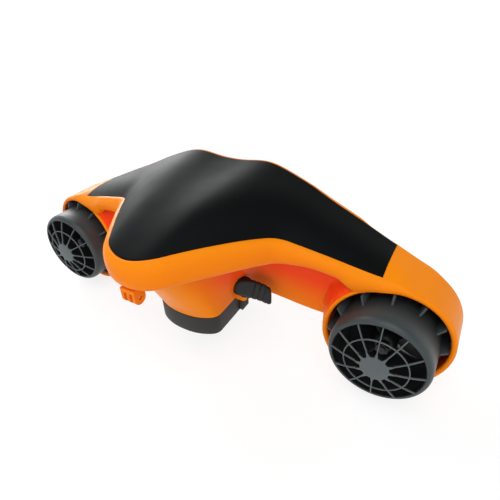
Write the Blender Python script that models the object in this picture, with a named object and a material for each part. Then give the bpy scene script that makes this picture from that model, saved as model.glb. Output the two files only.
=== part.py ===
"""Underwater scooter: a swept hull on two ducted thrusters, with finger triggers and a drop-out battery.

Metres, +Z up, nose towards -Y, the rider's left at +X. The origin is under the middle of the hull, on the plane
that the two nacelles stand on.
"""

import math

import bmesh
import bpy
from mathutils import Matrix, Vector

MM = 0.001
NAMES = {1: "left", -1: "right"}
GAP = 0.3 * MM  # between pieces that touch
RUN = 0.3 * MM  # radial clearance of a shaft in its bore

# Thrusters: the axis runs along Y, and places along it are measured back from the rim of the front grille
AXIS_X = 190 * MM
RIM_Y = -4 * MM
NACELLE_OUTER = 57 * MM
NACELLE_WALL = 5 * MM
NACELLE_FRONT = 28.7 * MM
NACELLE_REAR = 78 * MM
NACELLE_SWEEP = math.radians(8.5)
AXIS_Z = NACELLE_OUTER
DUCT_OUTER = 44.5 * MM
DUCT_WALL = 5 * MM
DUCT_REAR = 92 * MM
DUCT_RIBS = 12
RIB_FRONT = 36 * MM
RIB_REAR = 58 * MM
RIB_THICK = 2 * MM
GRILLE_SEAT = 1.6 * MM  # how much the grille's seat widens the duct's bore
GRILLE_DEPTH = 5 * MM
GRILLE_SPOKES = 12
GUARD_SPOKES = 6
GRILLE_RIM = 1.6 * MM
GRILLE_DOME = 8.5 * MM
GRILLE_HUB = 13 * MM
GRILLE_RING = 27.5 * MM
SPOKE_WIDE = 1.7 * MM
SPOKE_DEEP = 3 * MM
ROUND = 28  # sides of a large turned piece

# Motor and propeller
SHAFT_R = 3.5 * MM
SHAFT_FRONT = 15 * MM
STATOR_WALL = 3 * MM
AIR_GAP = 0.8 * MM
SEAL_DEEP = 2.7 * MM
NUT_R = 6 * MM
CAN_R = 16 * MM
CAN_WALL = 1.5 * MM
CAN_FRONT = 48 * MM
CAN_REAR = 84 * MM
PROP_HUB = 11 * MM
PROP_FRONT = 22 * MM
PROP_REAR = 44 * MM
PROP_BLADES = 3
PROP_TIP_GAP = 1.2 * MM
BLADE_THICK = 2.2 * MM
BEARING_R = 8 * MM
BEARING_WIDE = 3.5 * MM
VANE_FRONT = 56 * MM
VANE_REAR = 78 * MM
VANE_THICK = 9 * MM
MOUNT_WALL = 2.5 * MM
CABLE_R = 2.6 * MM
CABLE_BACK = 64 * MM  # the motor cable's place behind the rim
GLAND_WALL = 2 * MM

# Hull outline, seen from above: a round nose, straight sides to a notch, then a swept wing to each nacelle
NOSE_TIP = -80.5 * MM
NOSE_RADIUS = 37 * MM
NOTCH = Vector((88.6 * MM, 12.7 * MM))
NOTCH_FILLET = 30 * MM
WING_SWEEP = 0.2
TAIL_Y = 85 * MM
TAIL_HALF = 90 * MM
REAR_SWEEP = 0.08
PANEL_HALF = 175 * MM
WING_END = 205 * MM

# Hull heights: pairs of distance from the centre line and height
FRONT_HEIGHTS = [(0, 150), (24, 153), (45, 152.3), (72, 148.6), (90, 143), (132, 131.6), (175, 119),
                 (205, 114.5)]
REAR_HEIGHTS = [(0, 175), (18, 176), (37, 179), (52, 177), (70, 170.3), (90, 162), (110, 152.4), (140, 140),
                (180, 122.6), (205, 113.5)]
CROWNS = [(0, 6), (37, 9), (70, 8), (110, 5), (175, 2.5), (205, 1.2)]
CROWN_PLACE = 0.4  # where along the chord the crown is highest
SKIRT_HEIGHTS = [(0, 27), (20, 29), (55, 29), (88, 25), (118, 17.3), (145, 16.6), (205, 17)]

# Hull shells
SHELL = 3 * MM
SKIRT_BULGE = 9 * MM
PANEL_THICK = 1 * MM
RIM_INSET = 4.2 * MM
RIM_SHARE = 0.82  # of the skirt's height, down to the lower shell's rim inside it
SEAL_HIGH = 2 * MM
SEAL_WIDE = 2.4 * MM
SEAL_END = 140 * MM
BAR_FRONT = 44 * MM
BAR_REAR = 67 * MM
FLOOR_Z = 50.9 * MM
FLARE = 0.55  # below 1, so the hull draws in fast under its skirt
HULL_STEPS = [0, 0.02, 0.08, 0.2, 0.38, 0.62, 1]

# Battery
BASE_BOTTOM = 27.7 * MM
BASE_TOP = FLOOR_Z - GAP
BASE_WALL = 2.5 * MM
BASE_LEDGE = 3 * MM
BASE_FLOOR = 3 * MM
FLANGE_THICK = 2.6 * MM
CELL_R = 9.2 * MM
CELL_HIGH = 65 * MM
CELL_PITCH = 19 * MM
CELL_COLUMNS = 3
CELL_ROWS = 4
CELL_FIRST_Y = -1.5 * MM
HOLDER_THICK = 4 * MM
CASE_WALL = 2 * MM
CASE_CLEAR = 1 * MM
CASE_MARGIN = CELL_R + CASE_CLEAR + CASE_WALL
CASE_HALF = (CELL_COLUMNS - 1) / 2 * CELL_PITCH + CASE_MARGIN
CASE_FRONT = CELL_FIRST_Y - CASE_MARGIN
CASE_REAR = CELL_FIRST_Y + (CELL_ROWS - 1) * CELL_PITCH + CASE_MARGIN
CONTACTS = 3
CONTACT_R = 2.5 * MM
CONTACT_HIGH = 2 * MM
CONTACT_PITCH = 14 * MM
BUTTON_Y = 30 * MM
BUTTON_WIDE = 6 * MM
BUTTON_HIGH = 17 * MM
BUTTON_PROUD = 1 * MM
BUTTON_SUNK = 2.2 * MM
BUTTON_TRAVEL = 1.5 * MM

# Pod: the middle of the hull, drawn round the battery case
POD_SIDE = 5.3 * MM
POD_AHEAD = 2.3 * MM
POD_NOSE = 11.5 * MM
POD_BEHIND = 9.3 * MM
POD_HALF = CASE_HALF + POD_SIDE
POD_SHOULDER = CASE_FRONT - POD_AHEAD
POD_FRONT = POD_SHOULDER - POD_NOSE
POD_REAR = CASE_REAR + POD_BEHIND
POD_CORNER = 11 * MM
POD_BOW = 0.86  # share of the pod's width that its bowed front takes
POD_ROUND = 2.4

# Electronics
BOARD_LONG = 70 * MM
BOARD_WIDE = 56 * MM
BOARD_THICK = 1.6 * MM
BLOCK_HIGH = 8 * MM
POST_R = 3 * MM
DRIVER_SIZE = Vector((16, 34, 9)) * MM

# Triggers
PIVOT_OUT = 10.5 * MM  # from the pod's flank
PIVOT_X = POD_HALF + PIVOT_OUT
PIVOT_Y = 22 * MM
PIN_R = 2 * MM
LOBE_R = 6.5 * MM
TRIGGER_BOTTOM = 56 * MM
TRIGGER_TOP = 79 * MM
TRIGGER_REACH = 30 * MM
TRIGGER_THICK = 7 * MM
TRIGGER_DROOP = 6 * MM
TRIGGER_RISE = 2 * MM
TRIGGER_SWEEP = 2 * MM
EAR_THICK = 4.2 * MM
EAR_HALF = 6.4 * MM
SPRING_R = 4.2 * MM
SPRING_WIRE = 0.45 * MM
SPRING_TURNS = 2
MAGNET_R = 2 * MM
MAGNET_LONG = 3 * MM

# Camera mount: three fingers on the usual pitch
FINGER_THICK = 3 * MM
FINGER_GAP = 3.1 * MM
FINGER_R = 6.2 * MM
FINGER_HOLE = 2.6 * MM
MOUNT_Y = -78.5 * MM
MOUNT_DROP = 10.2 * MM  # from the skirt's lip down to the hole

# Screws
SCREW_R = 1.8 * MM
SCREW_HEAD_R = 3.4 * MM
SCREW_HEAD_HIGH = 2 * MM
SCREW_LONG = 15 * MM
BOSS_R = 4.2 * MM
BOSS_X = (75 * MM, 112 * MM)
BOSS_Y = 51 * MM

FINISHES = {
    "orange": ((0.92, 0.27, 0.02), 0.35, 0.0),
    "black": ((0.012, 0.014, 0.015), 0.5, 0.0),
    "graphite": ((0.035, 0.04, 0.042), 0.4, 0.0),
    "steel": ((0.6, 0.6, 0.6), 0.3, 1.0),
    "copper": ((0.7, 0.4, 0.2), 0.35, 1.0),
    "rubber": ((0.02, 0.02, 0.02), 0.8, 0.0),
    "board": ((0.02, 0.16, 0.06), 0.5, 0.0),
    "cell": ((0.05, 0.2, 0.5), 0.4, 0.0),
}


# General helpers

def clear_scene():
    for old in list(bpy.data.objects):
        bpy.data.objects.remove(old)


def finish(name):
    """The Principled material of that name, made once."""
    if name in bpy.data.materials:
        return bpy.data.materials[name]
    colour, roughness, metallic = FINISHES[name]
    material = bpy.data.materials.new(name)
    material.use_nodes = True
    shader = material.node_tree.nodes["Principled BSDF"]
    shader.inputs["Base Color"].default_value = (*colour, 1)
    shader.inputs["Roughness"].default_value = roughness
    shader.inputs["Metallic"].default_value = metallic
    return material


def empty(name, place):
    found = bpy.data.objects.new(name, None)
    found.location = place
    bpy.context.collection.objects.link(found)
    return found


def piece(name, bm, look=None, parent=None, place=(0, 0, 0), smooth=True):
    """Links the bmesh as a named object. With no look it is a hidden cutter."""
    bmesh.ops.recalc_face_normals(bm, faces=bm.faces)
    mesh = bpy.data.meshes.new(name)
    bm.to_mesh(mesh)
    bm.free()
    made = bpy.data.objects.new(name, mesh)
    bpy.context.collection.objects.link(made)
    made.location = place
    made.parent = parent
    if smooth:
        mesh.shade_smooth()
        mesh.set_sharp_from_angle(angle=math.radians(35))
    if look is None:
        made.hide_render = True
        made.display_type = "WIRE"
    else:
        mesh.materials.append(finish(look))
    return made


def boolean(target, other, operation):
    change = target.modifiers.new(other.name, "BOOLEAN")
    change.operation = operation
    change.solver = "EXACT"
    change.object = other
    return target


def cut(target, *others):
    for other in others:
        boolean(target, other, "DIFFERENCE")
    return target


def join(target, *others):
    for other in others:
        boolean(target, other, "UNION")
    return target


def turned(profile, sides, phase=0.0):
    """Spins (radius, place along Y) points about Y. A profile that starts and ends on the axis closes there."""
    bm = bmesh.new()
    points = [bm.verts.new((r * math.sin(phase), y, r * math.cos(phase))) for r, y in profile]
    pairs = list(zip(points, points[1:]))
    if profile[0][0] > 0 and profile[-1][0] > 0:
        pairs.append((points[-1], points[0]))
    edges = [bm.edges.new(pair) for pair in pairs]
    bmesh.ops.spin(bm, geom=points + edges, cent=(0, 0, 0), axis=(0, 1, 0), angle=math.tau, steps=sides,
                   use_merge=True)
    bmesh.ops.remove_doubles(bm, verts=bm.verts, dist=1e-6)
    return bm


def rod(radius, start, end, sides=16):
    """A round bar along Y."""
    return turned([(0, start), (radius, start), (radius, end), (0, end)], sides)


def tube(inner, outer, start, end, sides=16):
    return turned([(inner, start), (outer, start), (outer, end), (inner, end)], sides)


def upright(bm):
    """Turns a piece made along Y so that it stands along Z."""
    bmesh.ops.rotate(bm, verts=bm.verts, cent=(0, 0, 0), matrix=Matrix.Rotation(math.pi / 2, 3, "X"))
    return bm


def sideways(bm):
    """Turns a piece made along Y so that it lies along X."""
    bmesh.ops.rotate(bm, verts=bm.verts, cent=(0, 0, 0), matrix=Matrix.Rotation(-math.pi / 2, 3, "Z"))
    return bm


def moved(bm, place):
    bmesh.ops.translate(bm, verts=bm.verts, vec=Vector(place))
    return bm


def block(near, far):
    """A box between two opposite corners."""
    near, far = Vector(near), Vector(far)
    bm = bmesh.new()
    bmesh.ops.create_cube(bm, size=1)
    bmesh.ops.scale(bm, verts=bm.verts, vec=far - near)
    return moved(bm, (near + far) / 2)


def prism(outline, low, high):
    """Extrudes a flat outline of (x, y) points from one height to another."""
    bm = bmesh.new()
    face = bm.faces.new([bm.verts.new((x, y, low)) for x, y in outline])
    risen = bmesh.ops.extrude_face_region(bm, geom=[face])
    bmesh.ops.translate(bm, verts=[v for v in risen["geom"] if isinstance(v, bmesh.types.BMVert)],
                        vec=(0, 0, high - low))
    return bm


def skin(rings):
    """A surface through rings of points, each joined to the next."""
    bm = bmesh.new()
    loops = [[bm.verts.new(point) for point in ring] for ring in rings]
    for upper, lower in zip(loops, loops[1:]):
        for i in range(len(upper)):
            bm.faces.new((upper[i - 1], upper[i], lower[i], lower[i - 1]))
    return bm


def gathered(parts):
    """Puts several bmeshes into one."""
    whole = bmesh.new()
    scratch = bpy.data.meshes.new("scratch")
    for part in parts:
        part.to_mesh(scratch)
        whole.from_mesh(scratch)
        part.free()
    bpy.data.meshes.remove(scratch)
    return whole


def sweep(path, radius, sides):
    """A round bar along a path of points, closed at both ends."""
    rings = []
    side = None
    for i, point in enumerate(path):
        along = (path[min(i + 1, len(path) - 1)] - path[max(i - 1, 0)]).normalized()
        side = along.orthogonal() if side is None else side - along * side.dot(along)
        side.normalize()
        other = along.cross(side)
        turns = [math.tau * k / sides for k in range(sides)]
        rings.append([point + radius * (math.cos(turn) * side + math.sin(turn) * other) for turn in turns])
    return closed_skin(rings)


def closed_skin(rings):
    """A solid through rings of points, filled at both ends."""
    bm = skin(rings)
    bm.verts.ensure_lookup_table()
    count = len(rings[0])
    bm.faces.new(bm.verts[:count])
    bm.faces.new(bm.verts[-count:])
    return bm


# Hull form

def eased(pairs, x):
    """Reads millimetre pairs at x with smooth steps between them."""
    last = len(pairs) - 1
    x = min(abs(x) / MM, pairs[last][0])
    i = next(k for k in range(last) if x <= pairs[k + 1][0])
    (x0, z0), (x1, z1) = pairs[i], pairs[i + 1]
    before, after = pairs[max(i - 1, 0)], pairs[min(i + 2, last)]
    span = x1 - x0
    rise0 = (z1 - before[1]) / (x1 - before[0]) * span if i > 0 else 0
    rise1 = (after[1] - z0) / (after[0] - x0) * span
    t = (x - x0) / span
    return MM * ((2 * t**3 - 3 * t**2 + 1) * z0 + (t**3 - 2 * t**2 + t) * rise0
                 + (3 * t**2 - 2 * t**3) * z1 + (t**3 - t**2) * rise1)


def nose_side():
    """Where the nose's round tip runs into its straight side, and that side's slope."""
    centre = Vector((0, NOSE_TIP + NOSE_RADIUS))
    to_notch = NOTCH - centre
    turn = math.acos(NOSE_RADIUS / to_notch.length)
    heading = math.atan2(to_notch.y, to_notch.x) - turn
    touch = centre + NOSE_RADIUS * Vector((math.cos(heading), math.sin(heading)))
    return touch, (NOTCH.y - touch.y) / (NOTCH.x - touch.x)


def front_edge(x):
    """Y of the deck's front edge at a distance from the centre line."""
    x = abs(x)
    touch, slope = nose_side()
    if x < touch.x:
        return NOSE_TIP + NOSE_RADIUS - math.sqrt(NOSE_RADIUS**2 - x * x)
    side, wing = math.atan(slope), math.atan(WING_SWEEP)
    reach = NOTCH_FILLET * math.tan((side - wing) / 2)
    start, end = NOTCH.x - reach * math.cos(side), NOTCH.x + reach * math.cos(wing)
    if x <= start:
        return NOTCH.y + slope * (x - NOTCH.x)
    if x >= end:
        return NOTCH.y + WING_SWEEP * (x - NOTCH.x)
    middle_x = start + NOTCH_FILLET * math.sin(side)
    middle_y = NOTCH.y + slope * (start - NOTCH.x) - NOTCH_FILLET * math.cos(side)
    return middle_y + math.sqrt(NOTCH_FILLET**2 - (x - middle_x) ** 2)


def rear_edge(x):
    """Y of the deck's rear edge: straight across the tail, then swept forward along the wings."""
    return TAIL_Y - REAR_SWEEP * max(abs(x) - TAIL_HALF, 0)


def deck_point(x, t):
    """A point of the deck: t runs from its front edge to its rear edge."""
    front, rear = front_edge(x), rear_edge(x)
    low, high = eased(FRONT_HEIGHTS, x), eased(REAR_HEIGHTS, x)
    bend = t / CROWN_PLACE if t < CROWN_PLACE else (1 - t) / (1 - CROWN_PLACE)
    crown = eased(CROWNS, x) * math.sin(bend * math.pi / 2)
    return Vector((x, front + t * (rear - front), low + t * (high - low) + crown))


def stations(end):
    """Distances from the centre line, closer together round the nose and the notch."""
    nose = [NOSE_RADIUS * share for share in (0, 0.27, 0.54, 0.76, 0.97)]
    notch = [NOTCH.x * share for share in (0.54, 0.68, 0.79, 0.88, 0.95, 1.015, 1.09, 1.2)]
    wing = [notch[-1] + (PANEL_HALF - notch[-1]) * step / 4 for step in (1, 2, 3, 4)]
    tip = [PANEL_HALF + (WING_END - PANEL_HALF) * step / 2 for step in (1, 2)]
    half = [x for x in nose + notch + wing + tip if x <= end + GAP]
    return [-x for x in reversed(half[1:])] + half


CHORD_STEPS = [0, 0.12, 0.27, 0.42, 0.57, 0.72, 0.87, 1]


def deck_grid(end):
    return [[deck_point(x, t) for t in CHORD_STEPS] for x in stations(end)]


def rim_of(grid):
    """The points round a grid's edge, in order: front, left end, rear, right end."""
    front = [column[0] for column in grid]
    rear = [column[-1] for column in reversed(grid)]
    return front + grid[-1][1:-1] + rear + list(reversed(grid[0][1:-1]))


def outward(loop):
    """The level direction out of a loop, at each of its points."""
    found = []
    for i in range(len(loop)):
        along = loop[(i + 1) % len(loop)] - loop[i - 1]
        found.append(Vector((along.y, -along.x, 0)).normalized())
    return found


def beside(loop, out, drop):
    """The loop moved out by one distance and down by another."""
    return [point + out * way - Vector((0, 0, drop)) for point, way in zip(loop, outward(loop))]


def lowered(loop, falls):
    """The loop with each of its points moved down by its own distance."""
    return [point - Vector((0, 0, fall)) for point, fall in zip(loop, falls)]


def skirt_high(point):
    """How far the skirt hangs below a point of the deck's edge."""
    return eased(SKIRT_HEIGHTS, point.x)


def sheet(grid, raised, out):
    """An open skin over a grid of deck points, moved up, with its edge moved out."""
    loop = rim_of(grid)
    ways = {tuple(point): way for point, way in zip(loop, outward(loop))}
    bm = bmesh.new()
    rows = []
    for column in grid:
        shifted = [point + ways.get(tuple(point), Vector()) * out + Vector((0, 0, raised)) for point in column]
        rows.append([bm.verts.new(point) for point in shifted])
    for near, far in zip(rows, rows[1:]):
        for i in range(len(near) - 1):
            bm.faces.new((near[i], far[i], far[i + 1], near[i + 1]))
    return bm


def welded(parts):
    """Several skins joined where their edges meet."""
    whole = gathered(parts)
    bmesh.ops.remove_doubles(whole, verts=whole.verts, dist=1e-6)
    return whole


def slab(grid, low, high, out=0.0):
    """A closed plate that follows the deck between two heights above it, grown by out all round."""
    loop = rim_of(grid)
    return welded([sheet(grid, low, out), sheet(grid, high, out),
                   skin([beside(loop, out, -low), beside(loop, out, -high)])])


# Hull pieces

def nacelle_clearance(side):
    """The space that a nacelle takes, for cutting back the shells."""
    bm = rod(NACELLE_OUTER + GAP, -20 * MM, DUCT_REAR + 20 * MM, ROUND)
    return piece(f"nacelle_space_{side:+d}", bm, place=(side * AXIS_X, RIM_Y, AXIS_Z))


def skirt(loop, steps, inset, drop):
    """Rings down the skirt's rounded section. A wall's inner side starts further in and lower down."""
    rings = []
    for i in range(steps + 1):
        turn = math.pi * i / steps
        share = (1 - math.cos(turn)) / 2
        falls = [drop + (skirt_high(point) - drop) * share for point in loop]
        rings.append(lowered(beside(loop, SKIRT_BULGE * math.sin(turn) - inset, 0), falls))
    return rings


def upper_shell(spaces):
    """The deck's carrier, let down where the panel lies, with a skirt round it, and bosses and posts under it."""
    grid, panel = deck_grid(WING_END), deck_grid(PANEL_HALF)
    tips = [[column for column in grid if side * column[0].x >= PANEL_HALF - GAP] for side in NAMES]
    loop, well = rim_of(grid), rim_of(panel)
    depth = PANEL_THICK + 2 * GAP
    wall = skirt(loop, 6, 0, 0) + list(reversed(skirt(loop, 3, SHELL, SHELL)))
    bm = welded([sheet(tips[0], 0, 0), sheet(tips[1], 0, 0), skin([beside(well, 0, 0), beside(well, 0, depth)]),
                 sheet(panel, -depth, 0), skin(wall), sheet(grid, -SHELL, -SHELL)])
    shell = cut(piece("upper_shell", bm, "orange"), *spaces)
    for side, name in NAMES.items():
        for i, x in enumerate(BOSS_X):
            top = under_deck(side * x, BOSS_Y, BOSS_R)
            bm = upright(tube(SCREW_R + RUN, BOSS_R, FLOOR_Z + SHELL + GAP, top, 12))
            join(shell, piece(f"{name}_boss_{i}", moved(bm, (side * x, BOSS_Y, 0))))
    for i, (x, y) in enumerate(post_places()):
        bm = upright(rod(POST_R, board_top() + GAP, under_deck(x, y, POST_R), 10))
        join(shell, piece(f"board_post_{i}", moved(bm, (x, y, 0))))
    return shell


def under_deck(x, y, radius):
    """How high a round post may rise without coming through the deck."""
    heights = []
    for k in range(8):
        turn = math.tau * k / 8
        px, py = x + radius * math.cos(turn), y + radius * math.sin(turn)
        front, rear = front_edge(px), rear_edge(px)
        heights.append(deck_point(px, (py - front) / (rear - front)).z)
    return min(heights) - PANEL_THICK - 3 * GAP


def deck_panel():
    """The black panel, flush with the carrier round it."""
    return piece("deck_panel", slab(deck_grid(PANEL_HALF), -PANEL_THICK, 0, -GAP), "black")


def rounded(corner, before, after, radius, count):
    """Points round a corner between two neighbours, on a curve tangent to both sides."""
    start = corner + (before - corner).normalized() * radius
    end = corner + (after - corner).normalized() * radius
    return [start.lerp(corner, t).lerp(corner.lerp(end, t), t) for t in (i / count for i in range(count + 1))]


def bow_y(share):
    """Y of the pod's bowed front at a share of its half width."""
    return POD_FRONT + (POD_SHOULDER - POD_FRONT) * share**POD_ROUND


def pod_outline():
    """One side of the pod seen from above, from the middle of its front to the middle of its rear."""
    front = Vector((0, POD_FRONT))
    shoulder = Vector((POD_HALF, POD_SHOULDER))
    back = Vector((POD_HALF, POD_REAR))
    rear = Vector((0, POD_REAR))
    bow = [Vector((POD_HALF * t, bow_y(t))) for t in (0.2, 0.4, 0.6, 0.8)]
    corner = rounded(shoulder, bow[-1], back, POD_CORNER * 0.6, 3)
    tail = rounded(back, shoulder, rear, POD_CORNER, 3)
    return [front] + bow + corner + tail + [rear]


def both_sides(half):
    """A closed outline from its half at +X, whose first and last points lie on the centre line."""
    return half + [Vector((-p.x, p.y)) for p in reversed(half[1:-1])]


def front_foot(x):
    """Where the hull's front face comes down to, below a place on the deck's front edge: the pod, then the bar."""
    inner = Vector((POD_HALF, BAR_FRONT))
    shoulder = Vector((POD_HALF, POD_SHOULDER))
    touch, _ = nose_side()
    if x <= touch.x:
        share = POD_BOW * x / touch.x
        return Vector((POD_HALF * share, bow_y(share)))
    if x < NOTCH.x:
        share = (x - touch.x) / (NOTCH.x - touch.x)
        run = shoulder.lerp(inner, max(share, 0.05))
        pull = max(0, share - 0.8) / 0.2
        return run + Vector((0.6, -0.25)) * pull * POD_CORNER
    share = (x - NOTCH.x) / (WING_END - NOTCH.x)
    return Vector((POD_HALF + POD_CORNER, BAR_FRONT)).lerp(Vector((WING_END, BAR_FRONT)), share)


def rear_foot(x):
    """The same for the hull's rear face."""
    share = min(x / (2 * POD_HALF), 1)
    return Vector((x, BAR_REAR + (POD_REAR - BAR_REAR) * (1 - share * share) ** 2))


def hull_foot(point):
    """The place on the hull's floor below a point of the deck's edge."""
    x = abs(point.x)
    front, rear = front_edge(x), rear_edge(x)
    place = front_foot(x).lerp(rear_foot(x), (point.y - front) / (rear - front))
    return Vector((math.copysign(place.x, point.x), place.y))


def hull_rings(steps, inset, rise):
    """Rings down the lower hull, from its rim inside the skirt to its floor."""
    edge = rim_of(deck_grid(WING_END))
    top = lowered(beside(edge, -RIM_INSET, 0), [RIM_SHARE * skirt_high(point) for point in edge])
    foot = [hull_foot(point) for point in edge]
    rings = []
    for h in steps:
        ring = []
        for point, low in zip(top, foot):
            level = point.xy.lerp(low, h**FLARE)
            fall = (point.z - FLOOR_Z) * h
            ring.append(Vector((level.x, level.y, point.z - fall + min(rise, 0.6 * fall))))
        rings.append(beside(ring, -inset, 0))
    return rings


def lower_shell(spaces, opening):
    """The hull's tub, with ledges for the triggers' pins and holes for those pins and for the shells' screws."""
    outer, inner = hull_rings(HULL_STEPS, 0, 0), hull_rings(HULL_STEPS[::2], 0.8 * SHELL, SHELL)
    shell = piece("lower_shell", closed_skin(list(reversed(outer)) + inner), "orange")
    ears, seats, holes = [], [], []
    for side in NAMES:
        ears += pin_ears(side)
        low, high = ear_lows()
        pivot = (side * PIVOT_X, PIVOT_Y, 0)
        seat = upright(rod(LOBE_R + 2 * RUN, low + EAR_THICK + GAP / 3, high - GAP / 3, 20))
        seats.append(moved(seat, pivot))
        pin_hole = upright(rod(PIN_R + RUN, FLOOR_Z + EAR_THICK * 0.3, high + EAR_THICK * 0.7, 12))
        holes.append(moved(pin_hole, pivot))
        for x in BOSS_X:
            hole = upright(rod(SCREW_R + RUN, FLOOR_Z - SHELL, FLOOR_Z + 2 * SHELL, 12))
            holes.append(moved(hole, (side * x, BOSS_Y, 0)))
    cut(shell, *spaces, opening, piece("lobe_seats", gathered(seats)))
    join(shell, piece("pin_ears", gathered(ears)))
    return cut(shell, piece("pin_and_screw_holes", gathered(holes)))


def ear_lows():
    """The undersides of the two ledges that hold a trigger's pin."""
    return FLOOR_Z + GAP, TRIGGER_TOP + spring_high() + 2 * GAP


def pin_ears(side):
    """The two ledges on the pod's flank, round at their outer ends."""
    inner = PIVOT_X - 1.8 * EAR_HALF
    outline = [(inner, EAR_HALF), (inner, -EAR_HALF)]
    for k in range(7):
        turn = math.pi * (k / 6 - 0.5)
        outline.append((PIVOT_X + EAR_HALF * math.cos(turn), EAR_HALF * math.sin(turn)))
    points = [(side * x, PIVOT_Y + y) for x, y in outline]
    return [prism(points, low, low + EAR_THICK) for low in ear_lows()]


def hull_seals():
    """Gaskets on the lower shell's rim, inside the skirt: one along the front and one along the rear."""
    edge = rim_of(deck_grid(WING_END))
    inner, outer = -RIM_INSET - SEAL_WIDE, -RIM_INSET - GAP
    low, high = GAP, GAP + SEAL_HIGH
    section = ((outer, low), (inner, low), (inner, high), (outer, high))
    corners = [lowered(beside(edge, out, -rise), [RIM_SHARE * skirt_high(point) for point in edge])
               for out, rise in section]
    along = len(stations(WING_END))
    rear = along + len(CHORD_STEPS) - 2
    for name, start in (("front", 0), ("rear", rear)):
        run = [i for i in range(start, start + along) if abs(edge[i].x) <= SEAL_END]
        piece(f"{name}_hull_seal", closed_skin([[loop[i] for loop in corners] for i in run]), "rubber")


def camera_mount():
    """Three fingers under the nose, with a hole across them for a thumb screw."""
    top = eased(FRONT_HEIGHTS, 0) - eased(SKIRT_HEIGHTS, 0) - GAP
    low_z = top - MOUNT_DROP
    pitch = FINGER_THICK + FINGER_GAP
    half = pitch + FINGER_THICK / 2
    outline = [(MOUNT_Y - FINGER_R, top), (MOUNT_Y + FINGER_R, top)]
    for k in range(9):
        turn = math.pi * k / 8
        outline.append((MOUNT_Y + FINGER_R * math.cos(turn), low_z - FINGER_R * math.sin(turn)))
    bm = prism(outline, -half, half)
    for v in bm.verts:
        v.co = (v.co.z, v.co.x, v.co.y)
    mount = piece("camera_mount", bm, "orange")
    for i in (-1, 1):
        middle = i * pitch / 2
        slot = block((middle - FINGER_GAP / 2, MOUNT_Y - 2 * FINGER_R, 0),
                     (middle + FINGER_GAP / 2, MOUNT_Y + 2 * FINGER_R, low_z + FINGER_R))
        cut(mount, piece(f"finger_gap_{i:+d}", slot))
    hole = moved(sideways(rod(FINGER_HOLE, -2 * half, 2 * half, 12)), (0, MOUNT_Y, low_z))
    return cut(mount, piece("thumb_screw_hole", hole))


def shell_screws():
    """Four screws from below, through the lower shell's floor into the upper shell's bosses."""
    head = FLOOR_Z - GAP
    profile = [(0, head - SCREW_HEAD_HIGH), (SCREW_HEAD_R, head - SCREW_HEAD_HIGH), (SCREW_HEAD_R, head),
               (SCREW_R, head), (SCREW_R, head + SCREW_LONG), (0, head + SCREW_LONG)]
    for side, name in NAMES.items():
        for x, where in zip(BOSS_X, ("inner", "outer")):
            bm = moved(upright(turned(profile, 12)), (side * x, BOSS_Y, 0))
            piece(f"{name}_{where}_screw", bm, "steel")


# Battery

def case_top():
    return BASE_BOTTOM + BASE_FLOOR + GAP + CELL_HIGH + CASE_CLEAR + CASE_WALL


def battery_opening():
    """The hole in the hull's floor that the battery case passes through."""
    half = CASE_HALF + 2 * GAP
    return piece("battery_opening", block((-half, CASE_FRONT - 2 * GAP, FLOOR_Z - SHELL),
                                          (half, CASE_REAR + 2 * GAP, FLOOR_Z + 2 * SHELL)))


def inset_outline(outline, inset):
    """The outline drawn in by a distance all round."""
    loop = [Vector((p.x, p.y, 0)) for p in outline]
    return [p.xy - way.xy * inset for p, way in zip(loop, outward(loop))]


def battery_base(battery):
    outline = both_sides(pod_outline())
    base = piece("battery_base", prism(outline, BASE_BOTTOM, BASE_TOP), "graphite", battery)
    deep = inset_outline(outline, BASE_WALL + BASE_LEDGE)
    wide = inset_outline(outline, BASE_WALL)
    ledge = BASE_TOP - FLANGE_THICK - GAP
    cut(base, piece("cell_pocket", prism(deep, BASE_BOTTOM + BASE_FLOOR, ledge + GAP)),
        piece("flange_pocket", prism(wide, ledge, BASE_TOP + SHELL)))
    for side in NAMES:
        inner, outer = POD_HALF - BUTTON_SUNK - BUTTON_TRAVEL - GAP, POD_HALF + 2 * BUTTON_PROUD
        half = BUTTON_WIDE / 2 + GAP
        pocket = block((side * inner, BUTTON_Y - half, button_bottom() - GAP),
                       (side * outer, BUTTON_Y + half, button_bottom() + BUTTON_HIGH + GAP))
        cut(base, piece(f"button_pocket_{side:+d}", pocket))
    return base


def button_bottom():
    return BASE_BOTTOM + (BASE_TOP - BASE_BOTTOM - FLANGE_THICK - BUTTON_HIGH) / 2


def release_button(side, battery):
    name = NAMES[side]
    inner, outer = POD_HALF - BUTTON_SUNK, POD_HALF + BUTTON_PROUD
    bm = block((side * inner, BUTTON_Y - BUTTON_WIDE / 2, button_bottom()),
               (side * outer, BUTTON_Y + BUTTON_WIDE / 2, button_bottom() + BUTTON_HIGH))
    return piece(f"{name}_release_button", bm, "black", battery)


def battery_case(battery):
    """The upper half of the battery: an upturned box on a flange that lies on the base's ledge."""
    inside = CASE_HALF - CASE_WALL
    flange = inset_outline(both_sides(pod_outline()), BASE_WALL + 2 * GAP)
    case = piece("battery_case", prism(flange, BASE_TOP - FLANGE_THICK, BASE_TOP), "graphite", battery)
    box = block((-CASE_HALF, CASE_FRONT, BASE_TOP - FLANGE_THICK / 2), (CASE_HALF, CASE_REAR, case_top()))
    hollow = block((-inside, CASE_FRONT + CASE_WALL, BASE_BOTTOM),
                   (inside, CASE_REAR - CASE_WALL, case_top() - CASE_WALL))
    return cut(join(case, piece("case_box", box)), piece("case_hollow", hollow))


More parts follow.
